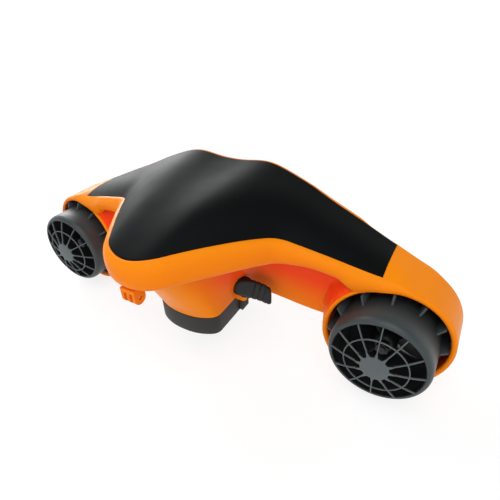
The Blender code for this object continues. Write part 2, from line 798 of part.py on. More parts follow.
def battery_cells(battery):
    """Upright round cells, held together by one plastic holder round their middles."""
    inset = CASE_WALL + CASE_CLEAR + CELL_R / 2
    half = CASE_HALF - inset
    foot = BASE_BOTTOM + BASE_FLOOR + GAP
    middle = foot + CELL_HIGH * 0.6
    holder = block((-half, CASE_FRONT + inset, middle), (half, CASE_REAR - inset, middle + HOLDER_THICK))
    pack = piece("battery_cells", holder, "cell", battery)
    cells = []
    for column in range(CELL_COLUMNS):
        for row in range(CELL_ROWS):
            x = (column - (CELL_COLUMNS - 1) / 2) * CELL_PITCH
            bm = upright(rod(CELL_R, foot, foot + CELL_HIGH, 8))
            cells.append(moved(bm, (x, CELL_FIRST_Y + row * CELL_PITCH, 0)))
    return join(pack, piece("cell_bodies", gathered(cells), parent=battery))


def contact_places():
    """The middles of the contacts, in a row across the top of the battery."""
    return [((i - (CONTACTS - 1) / 2) * CONTACT_PITCH, board_middle()) for i in range(CONTACTS)]


def battery_contacts(battery):
    """Round contacts on one insulating strip."""
    foot = case_top() + GAP
    xs = [x for x, _ in contact_places()]
    low = Vector((min(xs) - CONTACT_R, board_middle() - CONTACT_R, foot))
    high = Vector((max(xs) + CONTACT_R, board_middle() + CONTACT_R, foot + CONTACT_HIGH / 2))
    strip = piece("battery_contacts", block(low, high), "copper", battery)
    pads = [moved(upright(rod(CONTACT_R * 0.8, foot + CONTACT_HIGH / 4, foot + CONTACT_HIGH, 12)), (x, y, 0))
            for x, y in contact_places()]
    return join(strip, piece("contact_pads", gathered(pads), parent=battery))


# Electronics

def board_bottom():
    return case_top() + 2 * GAP + CONTACT_HIGH + BLOCK_HIGH + GAP


def board_top():
    return board_bottom() + BOARD_THICK


def board_middle():
    return CELL_FIRST_Y + (CELL_ROWS - 1) * CELL_PITCH / 2


def post_places():
    x, y = BOARD_WIDE / 2 - 2 * POST_R, BOARD_LONG / 2 - 2 * POST_R
    return [(i * x, board_middle() + j * y) for i in (-1, 1) for j in (-1, 1)]


def contact_block():
    xs = [x for x, _ in contact_places()]
    reach = CONTACT_R * 2
    low = case_top() + 2 * GAP + CONTACT_HIGH
    bm = block((min(xs) - reach, board_middle() - reach, low),
               (max(xs) + reach, board_middle() + reach, low + BLOCK_HIGH))
    return piece("contact_block", bm, "black")


def control_board():
    half = BOARD_WIDE / 2
    bm = block((-half, board_middle() - BOARD_LONG / 2, board_bottom()),
               (half, board_middle() + BOARD_LONG / 2, board_top()))
    return piece("control_board", bm, "board")


def driver_place(side):
    """The middle of a motor driver's foot."""
    return Vector((side * (BOARD_WIDE / 2 - DRIVER_SIZE.x / 2), board_middle(), board_top() + GAP))


def motor_driver(side):
    name = NAMES[side]
    foot = driver_place(side)
    half = Vector((DRIVER_SIZE.x / 2, DRIVER_SIZE.y / 2, 0))
    top = foot + half + Vector((0, 0, DRIVER_SIZE.z))
    return piece(f"{name}_motor_driver", block(foot - half, top), "graphite")


def motor_cable(side):
    """The cable from a motor driver, down through the wing and across the duct to the motor."""
    name = NAMES[side]
    start = driver_place(1) + Vector((DRIVER_SIZE.x / 2 + 3 * GAP, 0, DRIVER_SIZE.z / 2))
    y = RIM_Y + CABLE_BACK
    route = [start, start + Vector((6 * MM, 0, 0)), Vector((46 * MM, start.y + 12 * MM, start.z - 12 * MM)),
             Vector((56 * MM, y - 8 * MM, AXIS_Z + 34 * MM)), Vector((70 * MM, y, AXIS_Z + 15 * MM)),
             Vector((90 * MM, y, AXIS_Z + 3 * MM)), Vector((112 * MM, y, AXIS_Z)),
             Vector((AXIS_X - CAN_R - MOUNT_WALL, y, AXIS_Z))]
    path = [Vector((side * p.x, p.y, p.z)) for p in smooth_route(route, 3)]
    return piece(f"{name}_motor_cable", sweep(path, CABLE_R, 8), "rubber")


def smooth_route(route, steps):
    """Points read from a smooth curve through the route's own points."""
    ends = [route[0] * 2 - route[1]] + route + [route[-1] * 2 - route[-2]]
    found = []
    for a, b, c, d in zip(ends, ends[1:], ends[2:], ends[3:]):
        for i in range(steps):
            t = i / steps
            found.append(0.5 * (2 * b + (c - a) * t + (2 * a - 5 * b + 4 * c - d) * t**2
                                + (3 * b - a - 3 * c + d) * t**3))
    return found + [route[-1]]


# Triggers

def spring_high():
    return SPRING_TURNS * spring_pitch() + 2 * SPRING_WIRE


def spring_pitch():
    return 3 * SPRING_WIRE


def trigger(side, pivot):
    """A finger paddle on a round lobe, in the pivot's own frame, with a bore for the pin."""
    name = NAMES[side]
    low, high = TRIGGER_BOTTOM, TRIGGER_TOP
    rings = []
    for share in (0.1, 0.22, 0.34, 0.5, 0.7, 0.88, 1):
        x = side * TRIGGER_REACH * share
        thick = TRIGGER_THICK * (1 - 0.35 * share**2) / 2
        back = TRIGGER_SWEEP * share**2
        lift = min(max((share - 0.22) / 0.2, 0), 1)
        top = high - GAP + TRIGGER_RISE * lift - TRIGGER_DROOP * share**4
        foot = low + GAP + TRIGGER_RISE * 0.3 * lift - TRIGGER_DROOP * 0.8 * share**3
        ease = (top - foot) * 0.12
        low_edge, high_edge = foot + ease, top - ease
        section = ((-thick, low_edge), (-thick, high_edge), (0, top),
                   (thick, high_edge), (thick, low_edge), (0, foot))
        rings.append([Vector((x, back + y, z)) for y, z in section])
    paddle = piece(f"{name}_trigger", closed_skin(rings), "black", pivot)
    lobe = upright(rod(LOBE_R, low, high, 20))
    bore = upright(rod(PIN_R + RUN, low - SHELL, high + SHELL, 12))
    pocket = moved(rod(MAGNET_R + RUN, 0, TRIGGER_THICK, 12), magnet_place(side))
    join(paddle, piece(f"{name}_lobe", lobe, parent=pivot))
    return cut(paddle, piece(f"{name}_lobe_bore", bore, parent=pivot),
               piece(f"{name}_magnet_pocket", pocket, parent=pivot))


def magnet_place(side):
    """The bottom of the pocket in the paddle's back that holds the magnet."""
    return Vector((side * TRIGGER_REACH * 0.42, 0, (TRIGGER_BOTTOM + TRIGGER_TOP) / 2))


def trigger_magnet(side, pivot):
    name = NAMES[side]
    bm = moved(rod(MAGNET_R, GAP, GAP + MAGNET_LONG, 12), magnet_place(side))
    return piece(f"{name}_trigger_magnet", bm, "steel", pivot)


def trigger_pin(side, pivot):
    name = NAMES[side]
    low = FLOOR_Z + EAR_THICK * 0.3 + GAP
    high = ear_lows()[1] + EAR_THICK * 0.7 - GAP
    return piece(f"{name}_trigger_pin", upright(rod(PIN_R, low, high, 12)), "steel", pivot)


def trigger_spring(side, pivot):
    """A few turns of wire round the pin, above the lobe."""
    name = NAMES[side]
    per_turn = 10
    foot = TRIGGER_TOP + GAP + SPRING_WIRE
    path = []
    for i in range(SPRING_TURNS * per_turn + 1):
        turn = math.tau * i / per_turn
        rise = spring_pitch() * i / per_turn
        path.append(Vector((side * SPRING_R * math.cos(turn), SPRING_R * math.sin(turn), foot + rise)))
    return piece(f"{name}_trigger_spring", sweep(path, SPRING_WIRE, 6), "steel", pivot)


# Thrusters

def nacelle(side, mount):
    """The hoop round a thruster. Its front lip is swept back on the outer side."""
    name = NAMES[side]
    inner, outer = NACELLE_OUTER - NACELLE_WALL, NACELLE_OUTER
    lip = NACELLE_WALL / 2
    profile = []
    for k in range(5):
        turn = math.pi * k / 4
        profile.append((outer - lip + lip * math.cos(turn), NACELLE_FRONT + lip - lip * math.sin(turn)))
    for k in range(5):
        turn = math.pi * k / 4
        profile.append((outer - lip - lip * math.cos(turn), NACELLE_REAR - lip + lip * math.sin(turn)))
    bm = turned(profile, ROUND)
    middle = (NACELLE_FRONT + NACELLE_REAR) / 2
    for v in bm.verts:
        if v.co.y < middle:
            v.co.y += side * v.co.x * math.tan(NACELLE_SWEEP)
    hoop = piece(f"{name}_nacelle", bm, "orange", mount)
    hole = cable_bore(side, CABLE_R + RUN + GLAND_WALL + RUN, 0, 2 * NACELLE_OUTER)
    return cut(hoop, piece(f"{name}_gland_hole", hole, parent=mount))


def cable_bore(side, radius, near, far):
    """A round bar along the motor cable, between two distances from the thruster's axis."""
    start, end = sorted((-side * near, -side * far))
    return moved(sideways(rod(radius, start, end, 12)), (0, CABLE_BACK, 0))


def cable_gland(side, mount):
    name = NAMES[side]
    far = NACELLE_OUTER - 1 * MM
    start, end = sorted((-side * (far - NACELLE_WALL), -side * far))
    bm = tube(CABLE_R + RUN, CABLE_R + RUN + GLAND_WALL, start, end, 12)
    return piece(f"{name}_cable_gland", moved(sideways(bm), (0, CABLE_BACK, 0)), "rubber", mount)


def duct_bore():
    return DUCT_OUTER - DUCT_WALL


def duct(side, mount):
    name = NAMES[side]
    bore, seat = duct_bore(), duct_bore() + GRILLE_SEAT
    lip = DUCT_OUTER - seat
    waist = DUCT_OUTER - 1 * MM
    front_seat, rear_seat = lip + GRILLE_DEPTH, DUCT_REAR - GRILLE_DEPTH
    profile = [(seat, lip), (seat + lip * 0.3, lip * 0.2), (seat + lip * 0.7, 0), (DUCT_OUTER, lip),
               (DUCT_OUTER, NACELLE_FRONT), (waist, RIB_FRONT), (waist, DUCT_REAR - lip),
               (waist - lip * 0.3, DUCT_REAR), (seat, DUCT_REAR), (seat, rear_seat),
               (bore, rear_seat - GRILLE_SEAT), (bore, front_seat + GRILLE_SEAT), (seat, front_seat)]
    body = piece(f"{name}_duct", turned(profile, ROUND), "graphite", mount)
    ribs = []
    for k in range(DUCT_RIBS):
        turn = math.tau * k / DUCT_RIBS
        bm = block((DUCT_OUTER - 2.4 * MM, RIB_FRONT, -RIB_THICK / 2),
                   (NACELLE_OUTER - NACELLE_WALL - GAP - 0.4 * MM, RIB_REAR, RIB_THICK / 2))
        bmesh.ops.rotate(bm, verts=bm.verts, cent=(0, 0, 0), matrix=Matrix.Rotation(turn, 3, "Y"))
        ribs.append(bm)
    join(body, piece(f"{name}_duct_ribs", gathered(ribs), parent=mount))
    hole = cable_bore(side, CABLE_R + RUN, 0, 2 * DUCT_OUTER)
    return cut(body, piece(f"{name}_duct_hole", hole, parent=mount))


def grille_ring_r():
    """The outside of a grille's rim, seated in the duct."""
    return duct_bore() + GRILLE_SEAT - GAP


def dome(r):
    """How far a point of the front grille stands ahead of its rim."""
    return GRILLE_DOME * (1 - (r / grille_ring_r()) ** 2)


def grille(name, mount, spokes, high, front):
    """A rim, spokes, a middle ring and a hub disc. high is the dome's share of its full height."""
    rim, ring, hub = grille_ring_r(), GRILLE_RING, GRILLE_HUB
    body = piece(name, tube(rim - GRILLE_RIM, rim, front, front + GRILLE_DEPTH - GAP, ROUND), "graphite", mount)
    parts = []
    for k in range(spokes):
        rings = []
        for r in (hub * 0.8, ring, rim - GRILLE_RIM / 2):
            y = front - high * dome(r)
            corners = ((0, -1), (0, 1), (SPOKE_DEEP, 1), (SPOKE_DEEP, -1))
            rings.append([Vector((r, y + d, z * SPOKE_WIDE / 2)) for d, z in corners])
        bm = closed_skin(rings)
        turn = math.pi / 2 + math.tau * k / spokes
        bmesh.ops.rotate(bm, verts=bm.verts, cent=(0, 0, 0), matrix=Matrix.Rotation(turn, 3, "Y"))
        parts.append(bm)
    join(body, piece(f"{name}_spokes", gathered(parts), parent=mount))
    if high:
        y = front - high * dome(ring)
        middle = tube(ring - GRILLE_RIM / 2, ring + GRILLE_RIM / 2, y + GAP, y + SPOKE_DEEP - GAP, 24)
        join(body, piece(f"{name}_ring", middle, parent=mount))
    y = front - high * dome(hub)
    back = y + SPOKE_DEEP + 0.4 * MM
    front_face = [(0, y - 0.8 * MM), (hub * 0.6, y - 0.5 * MM), (hub, y + 0.1 * MM)]
    disc = turned(front_face + [(hub, back), (0, back)], 20)
    return join(body, piece(f"{name}_hub", disc, parent=mount))


def propeller(side, mount):
    """Three twisted blades on a hub. The two sides turn opposite ways, so their blades are mirrored."""
    name = NAMES[side]
    tip = duct_bore() * math.cos(math.pi / ROUND) - PROP_TIP_GAP
    hub = turned([(SHAFT_R + RUN, PROP_FRONT), (PROP_HUB * 0.8, PROP_FRONT), (PROP_HUB, PROP_FRONT + 5 * MM),
                  (PROP_HUB, PROP_REAR), (SHAFT_R + RUN, PROP_REAR)], 24)
    body = piece(f"{name}_propeller", hub, "black", mount)
    middle = (PROP_FRONT + PROP_REAR) / 2
    half = (PROP_REAR - PROP_FRONT) / 2 - 1.5 * MM
    blades = []
    for k in range(PROP_BLADES):
        rings = []
        for share in (0, 0.25, 0.5, 0.75, 1):
            r = PROP_HUB * 0.85 + (tip - PROP_HUB * 0.85) * share
            lean = math.radians(62 - 34 * share)
            chord = half / max(math.sin(lean), 0.5) * (0.9 + 0.25 * math.sin(math.pi * share) - 0.35 * share**3)
            thick = BLADE_THICK * (1 - 0.55 * share) / 2
            ring = []
            for c, d in ((-1, 0), (-0.4, 1), (0.4, 1), (1, 0), (0.4, -1), (-0.4, -1)):
                along, across = chord * c, thick * d
                angle = side * (along * math.cos(lean) - across * math.sin(lean)) / r
                y = middle + along * math.sin(lean) + across * math.cos(lean)
                ring.append(Vector((r * math.sin(angle), y, r * math.cos(angle))))
            rings.append(ring)
        bm = closed_skin(rings)
        turn = math.tau * k / PROP_BLADES
        bmesh.ops.rotate(bm, verts=bm.verts, cent=(0, 0, 0), matrix=Matrix.Rotation(turn, 3, "Y"))
        blades.append(bm)
    return join(body, piece(f"{name}_blades", gathered(blades), parent=mount))


def motor(name, mount):
    """The motor's fixed pieces, and those that turn with the propeller."""
    hole = SHAFT_R + RUN
    inside = CAN_R - CAN_WALL
    can = turned([(0, CAN_REAR), (CAN_R, CAN_REAR), (CAN_R, CAN_FRONT), (hole, CAN_FRONT),
                  (hole, CAN_FRONT + CAN_WALL), (inside, CAN_FRONT + CAN_WALL), (inside, CAN_REAR - CAN_WALL),
                  (0, CAN_REAR - CAN_WALL)], 24)
    piece(f"{name}_motor_can", can, "graphite", mount)
    front = CAN_FRONT + CAN_WALL + GAP
    rear = CAN_REAR - CAN_WALL - GAP - BEARING_WIDE
    piece(f"{name}_front_bearing", tube(hole, BEARING_R, front, front + BEARING_WIDE), "steel", mount)
    piece(f"{name}_rear_bearing", tube(hole, BEARING_R, rear, rear + BEARING_WIDE), "steel", mount)
    start, end = front + BEARING_WIDE + 2 * MM, rear - 2 * MM
    air = inside - STATOR_WALL
    piece(f"{name}_stator", tube(air, inside - GAP, start, end, 24), "copper", mount)
    piece(f"{name}_rotor", tube(hole, air - AIR_GAP, start, end, 20), "steel", mount)
    seal = tube(hole, BEARING_R, CAN_FRONT - GAP - SEAL_DEEP, CAN_FRONT - GAP)
    piece(f"{name}_shaft_seal", seal, "rubber", mount)
    piece(f"{name}_motor_shaft", rod(SHAFT_R, SHAFT_FRONT, rear + BEARING_WIDE, 16), "steel", mount)
    nut = piece(f"{name}_propeller_nut", rod(NUT_R, SHAFT_FRONT + 1 * MM, PROP_FRONT - GAP, 6), "steel", mount)
    cut(nut, piece(f"{name}_nut_thread", rod(hole, SHAFT_FRONT, PROP_FRONT), parent=mount))


def motor_mount(side, mount):
    """A sleeve round the motor on four vanes. The vane on the hull's side is bored for the cable."""
    name = NAMES[side]
    inner, outer = CAN_R + GAP, CAN_R + GAP + MOUNT_WALL
    body = piece(f"{name}_motor_mount", tube(inner, outer, VANE_FRONT, VANE_REAR, 24), "graphite", mount)
    reach = duct_bore() * math.cos(math.pi / ROUND) - GAP
    vanes = []
    for k in range(4):
        thick = VANE_THICK if k == 0 else VANE_THICK * 0.4
        bm = block((outer - MOUNT_WALL / 2, VANE_FRONT, -thick / 2), (reach, VANE_REAR, thick / 2))
        turn = math.pi * k / 2 + (math.pi if side > 0 else 0)
        bmesh.ops.rotate(bm, verts=bm.verts, cent=(0, 0, 0), matrix=Matrix.Rotation(turn, 3, "Y"))
        vanes.append(bm)
    join(body, piece(f"{name}_vanes", gathered(vanes), parent=mount))
    hole = cable_bore(side, CABLE_R + RUN, outer - MOUNT_WALL / 2, DUCT_OUTER)
    return cut(body, piece(f"{name}_vane_hole", hole, parent=mount))


def thruster(side):
    name = NAMES[side]
    mount = empty(f"{name}_thruster", (side * AXIS_X, RIM_Y, AXIS_Z))
    nacelle(side, mount)
    cable_gland(side, mount)
    duct(side, mount)
    grille(f"{name}_front_grille", mount, GRILLE_SPOKES, 1, 0)
    grille(f"{name}_rear_guard", mount, GUARD_SPOKES, 0, DUCT_REAR - GRILLE_DEPTH)
    motor(name, mount)
    motor_mount(side, mount)
    propeller(side, mount)


def main():
    clear_scene()
    spaces = [nacelle_clearance(side) for side in NAMES]
    upper_shell(spaces)
    deck_panel()
    lower_shell(spaces, battery_opening())
    hull_seals()
    camera_mount()
    shell_screws()
    contact_block()
    control_board()
    battery = empty("battery", (0, 0, 0))
    battery_base(battery)
    battery_case(battery)
    battery_cells(battery)
    battery_contacts(battery)
    for side in NAMES:
        pivot = empty(f"trigger_pivot_{side:+d}", (side * PIVOT_X, PIVOT_Y, 0))
        release_button(side, battery)
        motor_driver(side)
        motor_cable(side)
        trigger(side, pivot)
        trigger_magnet(side, pivot)
        trigger_pin(side, pivot)
        trigger_spring(side, pivot)
        thruster(side)
    middle = (TAIL_Y + NOSE_TIP) / 2
    for found in bpy.data.objects:
        if found.parent is None:
            found.location.y -= middle


main()
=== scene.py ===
"""Looks of the underwater scooter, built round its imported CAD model. Sizes are in millimetres."""

import math

import bmesh
import bpy
from mathutils import Matrix, Vector


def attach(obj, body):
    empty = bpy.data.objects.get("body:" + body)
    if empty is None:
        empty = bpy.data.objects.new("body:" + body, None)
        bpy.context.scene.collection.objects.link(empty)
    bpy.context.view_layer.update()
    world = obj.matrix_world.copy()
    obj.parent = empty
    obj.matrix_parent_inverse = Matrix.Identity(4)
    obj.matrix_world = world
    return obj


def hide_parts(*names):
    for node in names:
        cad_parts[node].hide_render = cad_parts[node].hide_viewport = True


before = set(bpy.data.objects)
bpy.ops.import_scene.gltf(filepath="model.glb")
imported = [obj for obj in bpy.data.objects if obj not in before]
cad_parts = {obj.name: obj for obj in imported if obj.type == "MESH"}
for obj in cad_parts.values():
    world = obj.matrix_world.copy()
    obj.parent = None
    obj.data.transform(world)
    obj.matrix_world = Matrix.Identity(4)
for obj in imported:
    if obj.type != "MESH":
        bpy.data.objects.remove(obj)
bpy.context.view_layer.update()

# Lower shell: the orange tub that makes the pod, the undersides of the wings and the finger grips. It is
# one ABS moulding with a fine satin polish. Its rim tucks up inside the skirt of the upper shell, and four
# screws hold it.
axis_x = 190
axis_z = 57
hoop_outer = 57
hoop_wall = 5
hoop_front = 22.45
hoop_rear = 71.75
hoop_sweep = math.tan(math.radians(8.5))
hoop_bite = 4
hoop_blend = 8
tail_y = 82.75
tail_half = 90
rear_sweep = 0.08
nose_radius = 37
notch = Vector((88.6, 10.45))
notch_fillet = 30
wing_sweep = 0.2
wing_end = 205
front_heights = [(0, 150), (24, 153), (45, 152.3), (72, 148.6), (90, 143), (132, 131.6), (175, 119),
                 (205, 114.5)]
rear_heights = [(0, 175), (18, 176), (37, 179), (52, 177), (70, 170.3), (90, 162), (110, 152.4), (140, 140),
                (180, 122.6), (205, 113.5)]
skirt_heights = [(0, 27), (20, 29), (55, 29), (88, 25), (118, 17.3), (145, 16.6), (205, 17)]
bend_spread = 5
rim_inset = 4.2
rim_share = 0.82
rim_clear = 20
floor_z = 50.9
floor_thick = 3
bar_drop = 4.6
bar_drop_end = 120
shell_wall = 2.4
front_share = 0.6
wall_ease = 1.6
flare = 0.55
nose_flare = 0.2
nose_flare_fade = 8, 46
pod_half = 36.5
pod_front = -29.75
pod_shoulder = -18.25
pod_rear = 74.75
pod_corner = 11
bow_power = 2.4
corner_steps = 8
bar_front = 41.75
bar_rear = 64.75
hatch_half = 31.8
hatch_front = -16.55
hatch_rear = 66.05
pivot = Vector((47, 19.75))
ledge_place = pivot - Vector((2, 1))
ledge_r = 3.8
ledge_root = 1.6 * ledge_r
ledge_low = 51.2
ledge_high = 57
seat_r = 7.2
seat_high = 79
parting_z = 68
parting_step = 0.4
parting_soft = 0.9
parting_fade = 24, 44
# Painted shade: the finger recess is turned red, for the red shade that falls in it.
recess_painted_shade = 0.86
recess_shade_span = 12, 66
recess_shade_fade = 0.8
weld = 0.005
round_steps = 48
both_sides = (1, "left"), (-1, "right")


def step(low, high, x):
    """A smooth step from 0 at low to 1 at high."""
    t = min(max((x - low) / (high - low), 0), 1)
    return t * t * (3 - 2 * t)


def eased(pairs, x):
    """Reads pairs at x, on a smooth curve through them."""
    last = len(pairs) - 1
    x = min(abs(x), pairs[last][0])
    i = next(k for k in range(last) if x <= pairs[k + 1][0])
    (x0, z0), (x1, z1) = pairs[i], pairs[i + 1]
    before, after = pairs[max(i - 1, 0)], pairs[min(i + 2, last)]
    span = x1 - x0
    rise0 = (z1 - before[1]) / (x1 - before[0]) * span if i > 0 else 0
    rise1 = (after[1] - z0) / (after[0] - x0) * span
    t = (x - x0) / span
    return ((2 * t**3 - 3 * t**2 + 1) * z0 + (t**3 - 2 * t**2 + t) * rise0
            + (3 * t**2 - 2 * t**3) * z1 + (t**3 - t**2) * rise1)


def softened(pairs, x):
    """The same curve with its bends spread out, so that a sheen runs over them evenly."""
    samples = [x + bend_spread * k for k in range(-2, 3)]
    return sum(eased(pairs, sample) for sample in samples) / len(samples)


nose_centre = Vector((0, nose_radius - tail_y))
to_notch = notch - nose_centre
nose_heading = math.atan2(to_notch.y, to_notch.x) - math.acos(nose_radius / to_notch.length)
nose_touch = nose_centre + nose_radius * Vector((math.cos(nose_heading), math.sin(nose_heading)))
nose_slope = (notch.y - nose_touch.y) / (notch.x - nose_touch.x)


def front_edge(x):
    """Y of the deck's front edge: the round nose, its straight side, the notch's fillet, the swept wing."""
    x = abs(x)
    if x < nose_touch.x:
        return nose_centre.y - math.sqrt(nose_radius**2 - x * x)
    side, wing = math.atan(nose_slope), math.atan(wing_sweep)
    reach = notch_fillet * math.tan((side - wing) / 2)
    start, end = notch.x - reach * math.cos(side), notch.x + reach * math.cos(wing)
    if x <= start:
        return notch.y + nose_slope * (x - notch.x)
    if x >= end:
        return notch.y + wing_sweep * (x - notch.x)
    middle_x = start + notch_fillet * math.sin(side)
    middle_y = notch.y + nose_slope * (start - notch.x) - notch_fillet * math.cos(side)
    return middle_y + math.sqrt(notch_fillet**2 - (x - middle_x) ** 2)


def rear_edge(x):
    """Y of the deck's rear edge, which sweeps forward beyond the tail."""
    return tail_y - rear_sweep * max(abs(x) - tail_half, 0)


def edge(x, front):
    """A point of the deck's edge at +x, and the level direction out of it."""
    read, heights, way = (front_edge, front_heights, 1) if front else (rear_edge, rear_heights, -1)
    nudge = 0.05
    slope = (read(x + nudge) - read(max(x - nudge, 0))) / (nudge + min(x, nudge))
    out = Vector((slope, -1, 0)).normalized() * way
    return Vector((x, read(x), softened(heights, x))), out


def rounded(corner, before, after, radius):
    """Points round a corner, on a curve tangent to both of its sides."""
    start = corner + (before - corner).normalized() * radius
    end = corner + (after - corner).normalized() * radius
    shares = [k / corner_steps for k in range(corner_steps + 1)]
    return [start.lerp(corner, t).lerp(corner.lerp(end, t), t) for t in shares]


def part_way(points, share):
    """The place at that share of the way along a row of points."""
    runs = [(b - a).length for a, b in zip(points, points[1:])]
    left = share * sum(runs)
    for a, b, run in zip(points, points[1:], runs):
        if left <= run:
            return a.lerp(b, left / run)
        left -= run
    return points[-1]


bow_rise = pod_shoulder - pod_front
pod_bow = [Vector((pod_half * t, pod_front + bow_rise * t**bow_power)) for t in (k / 10 for k in range(9))]
pod_side = Vector((pod_half, pod_rear))
bar_tip = Vector((wing_end, bar_front))
pod_turn = rounded(Vector((pod_half, pod_shoulder)), pod_bow[-1], pod_side, 0.6 * pod_corner)
bar_turn = rounded(Vector((pod_half, bar_front)), pod_turn[-1], bar_tip, pod_corner)


def foot(x, front):
    """The place on the hull's floor below a point of the deck's edge: the pod first, then the wing's bar."""
    if not front:
        share = min(x / (2 * pod_half), 1)
        return Vector((x, bar_rear + (pod_rear - bar_rear) * (1 - share * share) ** 2))
    half_turn = corner_steps // 2
    if x <= nose_touch.x:
        return part_way(pod_bow + pod_turn[:half_turn + 1], x / nose_touch.x)
    if x < notch.x:
        share = (x - nose_touch.x) / (notch.x - nose_touch.x)
        return part_way(pod_turn[half_turn:] + bar_turn[:half_turn + 1], share)
    return part_way(bar_turn[half_turn:] + [bar_tip], (x - notch.x) / (wing_end - notch.x))


def formed(across, down, place, depth=None):
    """A grid whose points go where place(u, v) says. depth(u, v) gives each point its painted shade."""
    bm = bmesh.new()
    bmesh.ops.create_grid(bm, x_segments=across, y_segments=down, size=0.5)
    layer = bm.verts.layers.float.new("depth")
    for point in bm.verts:
        u, v = point.co.x + 0.5, point.co.y + 0.5
        point.co = place(u, v)
        point[layer] = depth(u, v) if depth else 0
    return bm


def tub_station(u):
    """Goes along the front face to the wing's end, then back along the rear face."""
    if u <= front_share:
        return wing_end * u / front_share, True
    return wing_end * (1 - u) / (1 - front_share), False


def tub_point(u, v, inset=0.0, rise=0.0):
    """A point of the tub's wall: u goes round the hull, v down from the rim. The inner wall lies inset
    behind the outer one, and its floor is higher by rise."""
    x, front = tub_station(u)
    top, out = edge(x, front)
    top = top - out * rim_inset - Vector((0, 0, rim_share * eased(skirt_heights, x)))
    low = foot(x, front)
    h = v**wall_ease
    fall = (top.z - floor_z + bar_drop * step(pod_half + pod_corner, bar_drop_end, low.x)) * h
    z = top.z - fall + min(rise, 0.6 * fall)
    fuller = 0
    if front:
        above = step(parting_z - parting_soft, parting_z + parting_soft, z)
        inset += parting_step * (1 - above) * (1 - step(*parting_fade, x))
        fuller = nose_flare * (1 - step(*nose_flare_fade, x))
    level = top.xy.lerp(low, h ** (flare + fuller)) - out.xy * inset
    if front:
        ahead, beside = pivot.x - level.x, abs(pivot.y - level.y)
        if ledge_high < z < seat_high and beside < seat_r:
            level.x -= max(0, math.sqrt(seat_r**2 - beside**2) - ahead)
    place = Vector((level.x, level.y, z))
    reach = math.hypot(place.x - axis_x, place.z - axis_z) - hoop_outer
    near = 1 - step(0, hoop_blend + hoop_blend * (1 - h), reach)
    meet = hoop_front + hoop_sweep * (place.x - axis_x) + hoop_bite if front else hoop_rear - hoop_bite
    place.y += (meet + inset * (1 if front else -1) - place.y) * near**1.5
    inside = hoop_outer - hoop_wall / 2
    if reach + hoop_outer < inside:
        place.x = axis_x - math.sqrt(inside**2 - (place.z - axis_z) ** 2)
    return place


def tub_painted_shade(u, v):
    """Painted shade: the finger recess turns red, for the shade in it, fading towards the floor."""
    x, front = tub_station(u)
    return recess_painted_shade * step(*recess_shade_span, x) * (1 - recess_shade_fade * step(0.5, 1, v)) if front else 0


def other_half(bm):
    """Mirrors a left half across the centre line and joins the two."""
    bmesh.ops.mirror(bm, geom=bm.verts[:] + bm.edges[:] + bm.faces[:], axis="X", merge_dist=2 * weld)
    bmesh.ops.remove_doubles(bm, verts=bm.verts, dist=2 * weld)


def gathered(parts):
    """Puts several meshes into one."""
    whole = bmesh.new()
    scratch = bpy.data.meshes.new("scratch")
    for part in parts:
        part.to_mesh(scratch)
        whole.from_mesh(scratch)
        part.free()
    bpy.data.meshes.remove(scratch)
    return whole


def put(name, bm, material, crease=35):
    """Turns a mesh in millimetres into a smooth-shaded object in metres, with its faces outwards."""
    bmesh.ops.remove_doubles(bm, verts=bm.verts, dist=weld)
    bmesh.ops.recalc_face_normals(bm, faces=bm.faces)
    bmesh.ops.scale(bm, verts=bm.verts, vec=(0.001, 0.001, 0.001))
    mesh = bpy.data.meshes.new(name)
    bm.to_mesh(mesh)
    bm.free()
    mesh.shade_smooth()
    mesh.set_sharp_from_angle(angle=math.radians(crease))
    mesh.materials.append(material)
    made = bpy.data.objects.new(name, mesh)
    bpy.context.scene.collection.objects.link(made)
    return made


def post(x, y, low, high, radius):
    """An upright round bar."""
    bm = bmesh.new()
    bmesh.ops.create_cone(bm, cap_ends=True, segments=round_steps, radius1=radius, radius2=radius,
                          depth=high - low)
    bmesh.ops.translate(bm, verts=bm.verts, vec=(x, y, (low + high) / 2))
    return bm


class Wire:
    """A shader socket that takes part in sums, and the way to add nodes beside it."""

    def __init__(self, tree, socket=None):
        self.tree = tree
        self.socket = socket

    def node(self, kind, inputs=None, output=0, **settings):
        """Adds a node: its settings first, then the values or wires of its sockets."""
        made = self.tree.nodes.new("ShaderNode" + kind)
        for name, value in settings.items():
            setattr(made, name, value)
        for name, value in (inputs or {}).items():
            if isinstance(value, Wire):
                self.tree.links.new(value.socket, made.inputs[name])
            else:
                made.inputs[name].default_value = value
        return Wire(self.tree, made.outputs[output])

    def math(self, operation, first, second):
        return self.node("Math", {0: first, 1: second}, operation=operation)

    def __add__(self, other):
        return self.math("ADD", self, other)

    def __mul__(self, other):
        return self.math("MULTIPLY", self, other)

    def __rsub__(self, other):
        return self.math("SUBTRACT", other, self)

    __radd__ = __add__
    __rmul__ = __mul__


def new_finish(name, **constants):
    """A new Principled material with its even settings made, and a wire to draw the rest with."""
    material = bpy.data.materials.new(name)
    material.use_nodes = True
    shader = material.node_tree.nodes["Principled BSDF"]
    for socket, value in constants.items():
        shader.inputs[socket.replace("_", " ")].default_value = value
    return material, shader, Wire(material.node_tree)


def noise(wire, scale, detail, stretch=None):
    """Noise from the object's own coordinates, as a value round a half."""
    place = wire.node("TexCoord", output="Object")
    if stretch:
        place = wire.node("Mapping", {"Vector": place, "Scale": stretch})
    return wire.node("TexNoise", {"Vector": place, "Scale": scale, "Detail": detail})


def painted_shade_of(wire):
    """The painted shade that the mesh carries as its depth."""
    return wire.node("Attribute", output="Fac", attribute_name="depth")


def blended(wire, share, first, second):
    """A mix of two colours. A Mix node keeps its colours in sockets 6 and 7, and their mix in output 2."""
    return wire.node("Mix", {0: share, 6: first, 7: second}, output=2, data_type="RGBA")


def feed(wire, shader, socket):
    """Links a wire to a socket of a shader."""
    wire.tree.links.new(wire.socket, shader.inputs[socket])


